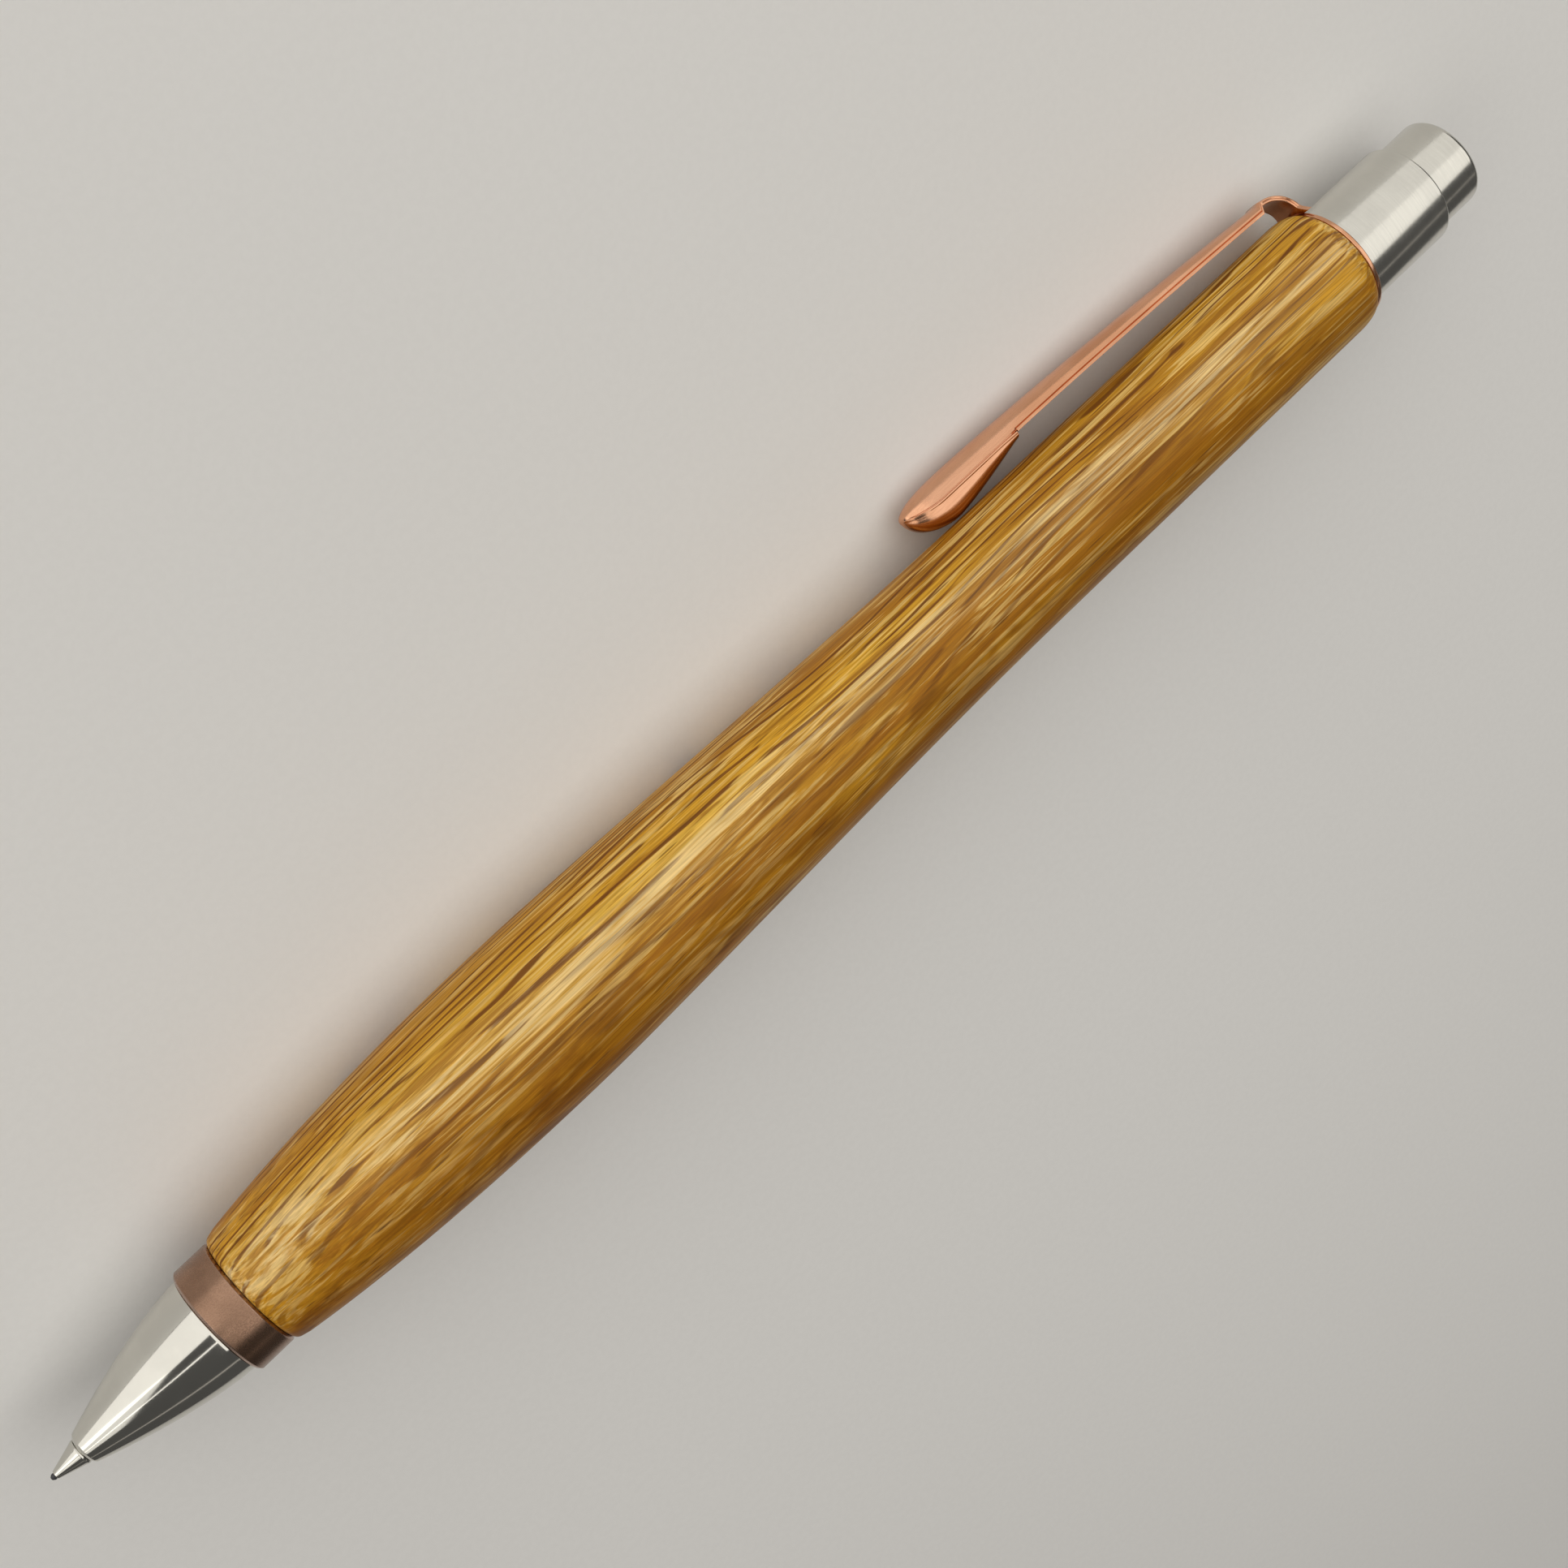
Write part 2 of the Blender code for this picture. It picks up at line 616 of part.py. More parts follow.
def build_mechanism(wood):
    # Sleeve: seat for the clutch ring in front, flange held by the cone, spring tube behind.
    seat_front, seat_rear, seat_bore = 13.45, 20.0, 1.5
    flange_front, flange_radius = SPIGOT_REAR + END_GAP, 3.25
    web_rear, web_bore = 21.0, COLLET_RADIUS + 0.1
    sleeve_rear = 35.0
    sleeve = turned(
        "clutch_sleeve",
        [
            (seat_front, seat_bore),
            (seat_front, SLEEVE_RADIUS),
            (flange_front, SLEEVE_RADIUS),
            (flange_front, flange_radius),
            (SLEEVE_FLANGE_REAR, flange_radius),
            (SLEEVE_FLANGE_REAR, SLEEVE_RADIUS),
            (sleeve_rear, SLEEVE_RADIUS),
            (sleeve_rear, SLEEVE_BORE),
            (web_rear, SLEEVE_BORE),
            (web_rear, web_bore),
            (seat_rear, web_bore),
            (seat_rear, seat_bore),
        ],
        BRASS, parent=wood,
    )

    front, rear = 11.5, seat_front - 0.15
    radius, chamfer = SLEEVE_RADIUS - 0.1, 0.15
    mouth_bore, throat_bore, throat_front = 1.4, 1.05, 12.5
    turned(
        "clutch_ring",
        [
            (front, mouth_bore),
            (front, radius - chamfer),
            (front + chamfer, radius),
            (rear - chamfer, radius),
            (rear, radius - chamfer),
            (rear, throat_bore),
            (throat_front, mouth_bore),
        ],
        BRASS, parent=sleeve,
    )
    keep_in_place(build_spring(), sleeve)

    bore = TANK_RADIUS - TANK_WALL
    tank = turned(
        "lead_tank",
        [(TANK_FRONT, bore), (TANK_FRONT, TANK_RADIUS), (TANK_REAR, TANK_RADIUS),
         (TANK_REAR, bore)],
        CLEAR_PLASTIC,
    )

    # Connector: gripped round the collet in front, plugged into the tank behind.
    head_radius, plug_radius = TANK_RADIUS - 0.1, TANK_RADIUS - 0.4
    collet_bore, lead_hole, collet_stop = COLLET_RADIUS + FIT, 0.55, COLLET_REAR + END_GAP
    plug_front, plug_rear = TANK_FRONT - END_GAP, 43.0
    funnel_mouth, funnel_depth = plug_radius - 0.3, 1.2
    turned(
        "tank_connector",
        [
            (CONNECTOR_FRONT, collet_bore),
            (CONNECTOR_FRONT, head_radius),
            (plug_front, head_radius),
            (plug_front, plug_radius),
            (plug_rear, plug_radius),
            (plug_rear, funnel_mouth),
            (plug_rear - funnel_depth, lead_hole),
            (collet_stop, lead_hole),
            (collet_stop, collet_bore),
        ],
        WHITE_PLASTIC, parent=tank,
    )

    collet_front, collet_bore = JAW_ROOT + END_GAP, 0.4
    collet = turned(
        "collet_body",
        [
            (collet_front, collet_bore),
            (collet_front, COLLET_RADIUS),
            (COLLET_REAR, COLLET_RADIUS),
            (COLLET_REAR, collet_bore),
        ],
        BRASS, parent=tank,
    )
    for number in range(3):
        keep_in_place(build_jaw(number + 1, math.radians(90 + 120 * number)), collet)
    return tank


# ---- Leads --------------------------------------------------------------------------------
def lead_profile(start, blunt):
    """Plain rod with its front end worn blunt."""
    end = start + LEAD_LENGTH
    return [(start, 0.0), (start, LEAD_RADIUS - blunt), (start + 1.4 * blunt, LEAD_RADIUS),
            (end, LEAD_RADIUS), (end, 0.0)]


def build_leads(tank):
    turned("lead", lead_profile(0.0, 0.12), GRAPHITE, 16)
    # The spares lie side by side along the bottom of the tank, each a little further back.
    rest_radius = TANK_RADIUS - TANK_WALL - LEAD_RADIUS - 0.05
    spread, first_start, stagger = math.radians(24), 62.0, 3.0
    for number in range(3):
        angle = -math.pi / 2 + spread * (number - 1)
        profile = lead_profile(first_start + stagger * number, 0.02)
        spare = turned(f"spare_lead_{number + 1}", profile, GRAPHITE, 12)
        spare.location = spare.location + place(0, rest_radius, angle=angle) - place(0)
        keep_in_place(spare, tank)


def main():
    for obj in list(bpy.data.objects):
        bpy.data.objects.remove(obj, do_unlink=True)
    build_nose()
    wood = build_barrel()
    tank = build_mechanism(wood)
    build_tail(wood, tank)
    build_clip(wood)
    build_leads(tank)


main()
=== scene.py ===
"""Looks of the wood-barrelled mechanical pencil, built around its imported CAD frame.

Metres. Turned pieces are described, as in the CAD, by (station, radius) in millimetres: a
station is the distance from the writing tip along the axis. A third number on a point is
the radius of the small rounding on that corner.
"""

import math

import bmesh
import bpy
from mathutils import Matrix, Vector


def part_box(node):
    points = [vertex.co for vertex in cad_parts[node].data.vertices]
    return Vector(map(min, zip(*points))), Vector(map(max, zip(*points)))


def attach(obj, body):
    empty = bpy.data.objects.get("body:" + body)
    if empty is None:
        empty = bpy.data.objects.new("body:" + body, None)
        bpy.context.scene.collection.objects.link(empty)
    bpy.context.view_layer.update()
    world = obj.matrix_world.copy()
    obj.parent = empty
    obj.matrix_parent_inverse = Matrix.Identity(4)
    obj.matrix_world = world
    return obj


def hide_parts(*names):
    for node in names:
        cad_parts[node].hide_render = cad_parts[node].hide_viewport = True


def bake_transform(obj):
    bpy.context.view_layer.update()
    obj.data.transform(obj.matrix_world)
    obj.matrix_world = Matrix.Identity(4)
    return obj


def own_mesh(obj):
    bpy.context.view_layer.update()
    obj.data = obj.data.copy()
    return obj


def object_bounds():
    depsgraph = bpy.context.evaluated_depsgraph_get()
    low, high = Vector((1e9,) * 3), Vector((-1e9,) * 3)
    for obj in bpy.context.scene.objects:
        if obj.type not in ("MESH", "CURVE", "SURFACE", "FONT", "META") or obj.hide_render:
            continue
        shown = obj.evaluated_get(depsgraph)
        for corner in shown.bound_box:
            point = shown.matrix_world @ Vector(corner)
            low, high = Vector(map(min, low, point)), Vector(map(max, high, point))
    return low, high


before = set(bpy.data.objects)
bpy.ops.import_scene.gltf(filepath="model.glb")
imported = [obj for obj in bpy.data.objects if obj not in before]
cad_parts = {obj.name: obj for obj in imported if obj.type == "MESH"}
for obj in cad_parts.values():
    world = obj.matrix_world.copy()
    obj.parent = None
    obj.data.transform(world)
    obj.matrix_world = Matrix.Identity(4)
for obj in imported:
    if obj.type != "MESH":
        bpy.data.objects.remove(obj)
cad_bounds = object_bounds()

MM = 0.001
WOOD_LOW, WOOD_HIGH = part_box("wood_barrel")
TIP_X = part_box("lead")[0].x
AXIS_Y = (WOOD_LOW.y + WOOD_HIGH.y) / 2
AXIS_Z = (WOOD_LOW.z + WOOD_HIGH.z) / 2
CLIP_DROP = math.radians(34.0)


def place(station, outward=0.0, across=0.0, angle=-CLIP_DROP):
    """World point in metres: outward from the axis at this angle, and across it."""
    y = outward * math.cos(angle) - across * math.sin(angle)
    z = outward * math.sin(angle) + across * math.cos(angle)
    return Vector((TIP_X + station * MM, AXIS_Y + y * MM, AXIS_Z + z * MM))


# ---- Sizes shared with the CAD, in millimetres --------------------------------------------
LENGTH = 144.6
CONE_FRONT, CONE_REAR, CONE_RADIUS = 2.75, 14.78, 4.12
RING_FRONT, RING_REAR, RING_RADIUS = 14.85, 17.95, 4.56
SPIGOT_REAR, SPIGOT_RADIUS = 22.0, 3.3      # threaded rear of the front cone
WOOD_FRONT, WOOD_REAR = 18.0, 130.95
BELLY_STATION, BELLY_RADIUS = 46.5, 6.58
WAIST_RUN, WAIST_RADIUS = 49.0, 5.45
BUSH_RADIUS, BUSH_BORE = 3.85, 3.92         # brass bushes, and the wood's bore round them
LINER_RADIUS, LINER_BORE = 3.0, 3.07
FRONT_STEP, REAR_STEP = 27.1, 115.9         # ends of the wood's narrow bore
FERRULE_FRONT, FERRULE_REAR, FERRULE_RADIUS = 131.49, 140.2, 4.45
TAIL_SPIGOT_FRONT, TAIL_SPIGOT_RADIUS, TAIL_SPIGOT_BORE = 120.0, 3.0, 3.07
BUTTON_FRONT, BUTTON_RADIUS, BUTTON_BORE = 137.0, 3.9, 3.35
BUTTON_END = 143.4          # inside of the button's end
LEAD_RADIUS, LEAD_BORE, LEAD_LENGTH = 0.25, 0.3, 60.0
TANK_FRONT, TANK_REAR, TANK_RADIUS, TANK_BORE = 38.2, 140.5, 1.9, 1.6
SLEEVE_RADIUS, SLEEVE_FLANGE_REAR = 2.4, 23.15
COLLET_RADIUS, COLLET_REAR = 1.05, 36.1
SPRING_FRONT, SPRING_REAR = 21.15, 32.85
THREAD_PITCH = 0.75

# ---- Camera, floor and light --------------------------------------------------------------
CAMERA_ELEVATION = math.radians(51.0)   # how steeply the camera looks down across the pencil
CAMERA_REACH = 0.160        # distance from the pencil's axis
CAMERA_FOOT = 39.7          # station that the camera is straight over
CAMERA_LEAN = math.radians(10.8)    # how far it leans towards the push button
CAMERA_ROLL = math.radians(43.5)    # how far the pencil climbs across the picture
FOCAL_SHARE = 2700 / 1932   # focal length over picture width

TOWARDS_CAMERA = Vector((0, math.cos(CAMERA_ELEVATION), math.sin(CAMERA_ELEVATION)))
CLIP_SIDE = Vector((0, math.sin(CAMERA_ELEVATION), -math.cos(CAMERA_ELEVATION)))


def build_camera():
    data = bpy.data.cameras.new("camera")
    data.sensor_width = 36.0
    data.lens = 36.0 * FOCAL_SHARE
    data.clip_start = 0.005
    camera = bpy.data.objects.new("camera", data)
    bpy.context.scene.collection.objects.link(camera)
    back = TOWARDS_CAMERA * math.cos(CAMERA_LEAN) - Vector((math.sin(CAMERA_LEAN), 0, 0))
    along = TOWARDS_CAMERA * math.sin(CAMERA_LEAN) + Vector((math.cos(CAMERA_LEAN), 0, 0))
    right = along * math.cos(CAMERA_ROLL) - CLIP_SIDE * math.sin(CAMERA_ROLL)
    up = along * math.sin(CAMERA_ROLL) + CLIP_SIDE * math.cos(CAMERA_ROLL)
    turn = Matrix((right, up, back)).transposed()
    camera.matrix_world = Matrix.Translation(
        place(CAMERA_FOOT) + TOWARDS_CAMERA * CAMERA_REACH) @ turn.to_4x4()
    bpy.context.scene.camera = camera


FLOOR_HALF_WIDTH = 2.5
FLOOR_GAP = 0.00002         # keeps the belly just clear of the floor
WORLD_GLOW = 0.09
WARM = (1.0, 0.975, 0.93)
WARMER = (1.0, 0.93, 0.84)


def soft_light(name, elevation, distance, size, glow, tint, along=0.0, swing=0.0):
    """Rectangular softbox of this radiance. Elevation runs from +Y over the top to -Y, and
    swing carries it round towards the writing tip."""
    data = bpy.data.lights.new(name, "AREA")
    data.shape = "RECTANGLE"
    data.size, data.size_y = size
    data.energy = math.pi * size[0] * size[1] * glow
    data.color = tint
    light = bpy.data.objects.new(name, data)
    a, b = math.radians(elevation), math.radians(swing)
    direction = Vector((-math.sin(b), math.cos(a) * math.cos(b), math.sin(a) * math.cos(b)))
    light.location = Vector((along, AXIS_Y, AXIS_Z)) + direction * distance
    light.rotation_euler = direction.to_track_quat("Z", "X").to_euler()
    light.rotation_euler.rotate_axis("Z", math.radians(90))
    bpy.context.scene.collection.objects.link(light)


def build_stage():
    bm = bmesh.new()
    bmesh.ops.create_grid(bm, x_segments=2, y_segments=2, size=FLOOR_HALF_WIDTH)
    mesh = bpy.data.meshes.new("floor")
    bm.to_mesh(mesh)
    bm.free()
    floor = bpy.data.objects.new("floor", mesh)
    floor.location.z = min(0.0, cad_bounds[0][2]) - FLOOR_GAP
    bpy.context.scene.collection.objects.link(floor)
    mesh.materials.append(floor_material())

    world = bpy.data.worlds.new("studio")
    world.use_nodes = True
    background = world.node_tree.nodes["Background"]
    background.inputs["Color"].default_value = (1.0, 0.98, 0.95, 1)
    background.inputs["Strength"].default_value = WORLD_GLOW
    bpy.context.scene.world = world
    bpy.context.scene.view_settings.view_transform = "Standard"
    # The sky is covered over the tail, but over the nose only a thin strip of it is lit, so
    # that the cone mirrors a dark band.
    soft_light("front_key_light", 30, 0.55, (1.10, 0.62), 1.15, WARM, -0.52)
    soft_light("rear_key_light", 30, 0.55, (0.86, 0.62), 0.88, WARM, 0.47)
    soft_light("rear_top_light", 83, 0.53, (1.20, 0.46), 1.15, WARM, 0.42)
    soft_light("front_strip_light", 80, 0.60, (0.85, 0.03), 1.6, WARM, -0.62)
    soft_light("far_strip_light", 141, 0.60, (1.60, 0.04), 0.35, WARMER)
    soft_light("end_light", 68, 1.0, (0.60, 0.60), 0.9, WARM, swing=58)


# ---- Shader helpers -----------------------------------------------------------------------
class Shader:
    """A Principled material that is put together one node at a time."""

    def __init__(self, name, **sockets):
        self.material = bpy.data.materials.new(name)
        self.material.use_nodes = True
        self.tree = self.material.node_tree
        self.principled = self.tree.nodes["Principled BSDF"]
        for socket, value in sockets.items():
            self.set(socket.replace("_", " "), value)

    def set(self, socket, value):
        """Sets or links one socket of the Principled node."""
        self.feed(self.principled.inputs[socket], value)

    def feed(self, target, value):
        if isinstance(value, bpy.types.NodeSocket):
            self.tree.links.new(value, target)
        elif isinstance(value, (tuple, list)) and target.type == "RGBA" and len(value) == 3:
            target.default_value = (*value, 1.0)
        else:
            target.default_value = value

    def node(self, kind, inputs=None, output=0, **settings):
        node = self.tree.nodes.new("ShaderNode" + kind)
        for key, value in settings.items():
            setattr(node, key, value)
        for key, value in (inputs or {}).items():
            self.feed(node.inputs[key], value)
        return node.outputs[output]

    def millimetres(self, stretch=(1, 1, 1), shift=(0, 0, 0)):
        """Object coordinates in millimetres, stretched for a pattern."""
        where = self.node("TexCoord", output=3)
        return self.node("Mapping", {"Vector": where, "Location": shift,
                                     "Scale": tuple(share / MM for share in stretch)})

    def noise(self, vector, scale=1.0, detail=3.0, roughness=0.5, distortion=0.0):
        return self.node("TexNoise", {"Vector": vector, "Scale": scale, "Detail": detail,
                                      "Roughness": roughness, "Distortion": distortion})

    def math(self, operation, a, b=0.0, clamp=False):
        return self.node("Math", {0: a, 1: b}, operation=operation, use_clamp=clamp)

    def remap(self, value, low, high, to_low=0.0, to_high=1.0, smooth=True):
        kind = "SMOOTHSTEP" if smooth else "LINEAR"
        return self.node("MapRange", {"Value": value, "From Min": low, "From Max": high,
                                      "To Min": to_low, "To Max": to_high},
                         interpolation_type=kind)

    def ramp(self, value, stops):
        """Colour ramp of (position, colour) stops."""
        node = self.tree.nodes.new("ShaderNodeValToRGB")
        node.color_ramp.interpolation = "EASE"
        elements = node.color_ramp.elements
        while len(elements) < len(stops):
            elements.new(0.5)
        for element, (position, colour) in zip(elements, stops):
            element.position = position
            element.color = (*colour, 1.0)
        self.feed(node.inputs["Fac"], value)
        return node.outputs["Color"]

    def mix(self, share, a, b, blend="MIX"):
        node = self.tree.nodes.new("ShaderNodeMix")
        node.data_type = "RGBA"
        node.blend_type = blend
        self.feed(node.inputs["Factor"], share)
        self.feed(node.inputs[6], a)
        self.feed(node.inputs[7], b)
        return node.outputs[2]

    def bump(self, height, distance, strength=1.0, normal=None):
        """Relief whose full height is this many millimetres."""
        inputs = {"Height": height, "Distance": distance * MM, "Strength": strength}
        if normal is not None:
            inputs["Normal"] = normal
        return self.node("Bump", inputs)


def floor_material():
    s = Shader("studio_floor", Roughness=0.75)
    where = s.millimetres()
    cloud = s.noise(where, 0.004, 2.0)
    grain = s.noise(where, 1.6, 3.0, 0.6)
    tone = s.mix(s.remap(cloud, 0.3, 0.7), (0.80, 0.79, 0.77), (0.85, 0.84, 0.82))
    s.set("Base Color", s.mix(s.remap(grain, 0.35, 0.65, 0.0, 0.06), tone, (0.62, 0.61, 0.59)))
    s.set("Normal", s.bump(grain, 0.03, 0.4))
    return s.material


LAYER_SPACING, FINE_LAYER_SPACING = 0.86, 0.31      # growth layers of the wood


def wood_material():
    """Golden-brown oiled wood, sawn so that its growth layers run out on the clip side."""
    pale_strand, dark_strand = (0.86, 0.60, 0.20), (0.300, 0.110, 0.004)
    # The pale silky colour below is partly painted sheen; the nose and red browns are painted
    # shade, and the patches and flecks darken that painted shade further.
    sheen_and_figure_pale, line_brown = (0.900, 0.680, 0.330), (0.170, 0.052, 0.002)
    pore_brown, nose_shade_brown = (0.140, 0.048, 0.004), (0.400, 0.165, 0.008)
    shade_red_brown, shaded_patch_brown = (0.330, 0.112, 0.002), (0.190, 0.058, 0.002)
    shaded_spot_brown = (0.100, 0.028, 0.001)
    mean_radius = 6.0
    s = Shader("oiled_wood", Coat_Weight=0.04, Coat_Roughness=0.3, Specular_IOR_Level=0.18)
    where = s.millimetres()

    def reach(direction):
        """How far the surface lies towards a direction, as a share of the barrel's radius."""
        dot = s.node("VectorMath", {0: where, 1: tuple(direction)}, output=1,
                     operation="DOT_PRODUCT")
        return s.math("DIVIDE", dot, mean_radius)

    def noise(stretch, detail=3.0, rough=0.5, distortion=0.0, shift=(0, 0, 0)):
        return s.noise(s.millimetres(stretch, shift), 1.0, detail, rough, distortion)

    side, front = reach(CLIP_SIDE), reach(TOWARDS_CAMERA)
    # Growth layers: nearly flat sheets across this direction, which wander along the barrel.
    layer_turn = math.radians(-48)
    across = reach(TOWARDS_CAMERA * math.cos(layer_turn) + CLIP_SIDE * math.sin(layer_turn))
    wander = s.math("MULTIPLY", noise((0.018, 0.13, 0.13), 2.0), 6.0)
    along = s.node("SeparateXYZ", {0: where})
    tailward = s.remap(along, 70, 125)
    ripple = s.math("MULTIPLY", noise((0.050, 0.5, 0.5), 2.0),
                    s.math("ADD", 0.9, s.math("MULTIPLY", tailward, 1.7)))
    depth = s.math("ADD", s.math("MULTIPLY", across, mean_radius),
                   s.math("ADD", wander, ripple))
    layer = s.math("SINE", s.math("MULTIPLY", depth, 2 * math.pi / LAYER_SPACING))
    fine_layer = s.math("SINE", s.math("MULTIPLY", depth, 2 * math.pi / FINE_LAYER_SPACING))

    bands = noise((0.014, 0.24, 0.24), 3.0)
    dashes = noise((0.075, 0.9, 0.9), 3.0, 0.5, 0.4)
    strands = noise((0.060, 1.9, 1.9), 4.0, 0.6, 0.7)
    fibres = noise((0.12, 7.0, 7.0), 3.0, 0.6)
    mottle = noise((0.10, 0.36, 0.36), 4.0, 0.62, 0.5)
    flecks = noise((0.22, 1.7, 1.7), 3.0, 0.6, 0.3)

    tone = s.ramp(bands, [
        (0.36, (0.400, 0.165, 0.006)), (0.46, (0.530, 0.255, 0.014)),
        (0.55, (0.640, 0.330, 0.022)), (0.66, (0.740, 0.440, 0.060)),
    ])
    tone = s.mix(s.remap(strands, 0.49, 0.40, 0.0, 0.65), tone, pale_strand)
    tone = s.mix(s.remap(strands, 0.52, 0.62, 0.0, 0.70), tone, dark_strand)
    tone = s.mix(s.remap(fine_layer, 0.2, 1.0, 0.0, 0.30), tone, dark_strand)
    # Painted shade: redder, mottled darker brown on the side turned from the clip, strongest on
    # the belly.
    shade_away = s.math("MULTIPLY", s.remap(side, 0.0, -0.80), s.remap(along, 38, 80, 1.0, 0.6))
    tone = s.mix(s.math("MULTIPLY", shade_away, 0.62), tone, shade_red_brown)
    # Painted shade: a little deeper on the clip side towards the nose.
    nose_shade = s.math("MULTIPLY", s.remap(side, -0.20, 0.30), s.remap(along, 62, 30))
    tone = s.mix(s.math("MULTIPLY", nose_shade, 0.35), tone, nose_shade_brown)
    # Dark patches and flecks of figure, laid only over the painted shade and deepening it.
    shaded_patch = s.math("MULTIPLY", s.remap(mottle, 0.46, 0.64), s.math("MULTIPLY", shade_away, 0.75))
    tone = s.mix(shaded_patch, tone, shaded_patch_brown)
    shaded_spot = s.math("MULTIPLY", s.remap(flecks, 0.58, 0.70), s.math("MULTIPLY", shade_away, 0.6))
    tone = s.mix(shaded_spot, tone, shaded_spot_brown)
    # Dark lines where the layers run out, broken into long dashes.
    line = s.math("MULTIPLY", s.remap(layer, 0.50, 0.88), s.remap(dashes, 0.42, 0.50))
    line = s.math("MULTIPLY", line, s.remap(side, -0.65, 0.2, 0.35, 0.95))
    tone = s.mix(line, tone, line_brown)
    # Open pores: thin short dashes.
    cells = s.node("TexVoronoi", {"Vector": s.millimetres((0.13, 2.2, 2.2)), "Scale": 1.0})
    pore = s.remap(s.math("ADD", cells, s.math("MULTIPLY", strands, 0.25)), 0.33, 0.23)
    tone = s.mix(s.math("MULTIPLY", pore, 0.65), tone, pore_brown)
    # Painted sheen: pale silky figure and highlight along the side that faces up, strongest where
    # it faces the camera.
    sheen_belt_side = s.math("SUBTRACT", side, s.math("MULTIPLY", noise((0.025, 0.15, 0.15)), 0.6))
    sheen_belt_side = s.math("ADD", sheen_belt_side, s.math("MULTIPLY", tailward, 0.12))
    sheen_belt = s.math("MULTIPLY", s.remap(sheen_belt_side, -0.48, -0.22), s.remap(sheen_belt_side, 0.12, -0.08))
    sheen_belt = s.math("MULTIPLY", sheen_belt, s.remap(front, 0.3, 0.7))
    sheen_and_figure = s.math("MULTIPLY", sheen_belt, s.remap(strands, 0.58, 0.42, 0.12, 1.0))
    tone = s.mix(s.math("MULTIPLY", sheen_and_figure, 0.55), tone, sheen_and_figure_pale)
    fibre_tone = s.remap(fibres, 0.3, 0.7, 0.78, 1.20, smooth=False)
    fibre_grey = s.node("CombineColor", {0: fibre_tone, 1: fibre_tone, 2: fibre_tone})
    s.set("Base Color", s.mix(1.0, tone, fibre_grey, "MULTIPLY"))
    hollow = s.math("MAXIMUM", s.math("MULTIPLY", line, 0.5), pore)
    s.set("Roughness", s.math("ADD", s.remap(fibres, 0.3, 0.7, 0.40, 0.50),
                              s.math("MULTIPLY", hollow, 0.2)))
    relief = s.math("SUBTRACT", s.math("MULTIPLY", fibres, 0.3), hollow)
    s.set("Normal", s.bump(relief, 0.03, 0.5))
    return s.material


def steel_material(name, roughness, satin):
    """Polished steel. Satin is the strength of the fine turning lines round the axis."""
    s = Shader(name, Metallic=1.0)
    lines = s.noise(s.millimetres((26, 0.25, 0.25)), 1.0, 3.0, 0.65)
    smudge = s.noise(s.millimetres(), 0.35, 4.0, 0.6)
    tint = s.mix(s.remap(smudge, 0.35, 0.65), (0.635, 0.62, 0.57), (0.675, 0.66, 0.605))
    s.set("Base Color", s.mix(s.remap(lines, 0.4, 0.6, 0.0, 0.18 * satin), tint,
                              (0.53, 0.515, 0.47)))
    s.set("Roughness", s.math("ADD", s.remap(smudge, 0.3, 0.75, roughness, roughness * 1.1),
                              s.remap(lines, 0.3, 0.7, 0.0, 0.10 * satin)))
    s.set("Normal", s.bump(lines, 0.002, 0.35 * satin))
    return s.material


def bronze_material():
    """Satin mauve-brown metal of the trim ring, paler where its edges have worn."""
    low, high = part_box("trim_ring")
    s = Shader("satin_bronze", Metallic=1.0)
    grain = s.noise(s.millimetres((7, 9, 9)), 1.0, 3.0, 0.6)
    cloud = s.noise(s.millimetres(), 0.35, 3.0)
    along = s.node("SeparateXYZ", {0: s.node("NewGeometry", output=0)})
    from_front = s.math("MULTIPLY", s.math("SUBTRACT", along, low.x), 1 / MM)
    from_rear = s.math("MULTIPLY", s.math("SUBTRACT", high.x, along), 1 / MM)
    edge = s.remap(s.math("MINIMUM", from_front, from_rear), 0.26, 0.10)
    tone = s.mix(s.remap(cloud, 0.35, 0.65), (0.28, 0.168, 0.112), (0.35, 0.212, 0.142))
    tone = s.mix(s.remap(grain, 0.35, 0.7, 0.0, 0.25), tone, (0.19, 0.105, 0.075))
    s.set("Base Color", s.mix(s.math("MULTIPLY", edge, 0.6), tone, (0.58, 0.42, 0.35)))
    s.set("Roughness", s.remap(grain, 0.3, 0.7, 0.22, 0.32))
    s.set("Normal", s.bump(grain, 0.004, 0.5))
    return s.material


def copper_material():
    """Rose-tinted copper sheet with a satin grain along the clip."""
    s = Shader("satin_copper", Metallic=1.0)
    grain = s.noise(s.millimetres((0.4, 6, 6)), 1.0, 3.0, 0.6)
    cloud = s.noise(s.millimetres((0.15, 0.5, 0.5)), 1.0, 4.0, 0.55)
    specks = s.noise(s.millimetres((9, 9, 9)), 1.0, 2.0, 0.5)
    tone = s.mix(s.remap(cloud, 0.35, 0.65), (0.66, 0.33, 0.185), (0.76, 0.41, 0.25))
    tone = s.mix(s.remap(specks, 0.62, 0.74, 0.0, 0.2), tone, (0.40, 0.17, 0.09))
    s.set("Base Color", s.mix(s.remap(grain, 0.4, 0.65, 0.0, 0.15), tone, (0.50, 0.23, 0.13)))
    s.set("Roughness", s.math("ADD", s.remap(grain, 0.3, 0.7, 0.15, 0.21),
                              s.remap(cloud, 0.3, 0.7, 0.0, 0.06)))
    s.set("Normal", s.bump(grain, 0.001, 0.3))
    return s.material


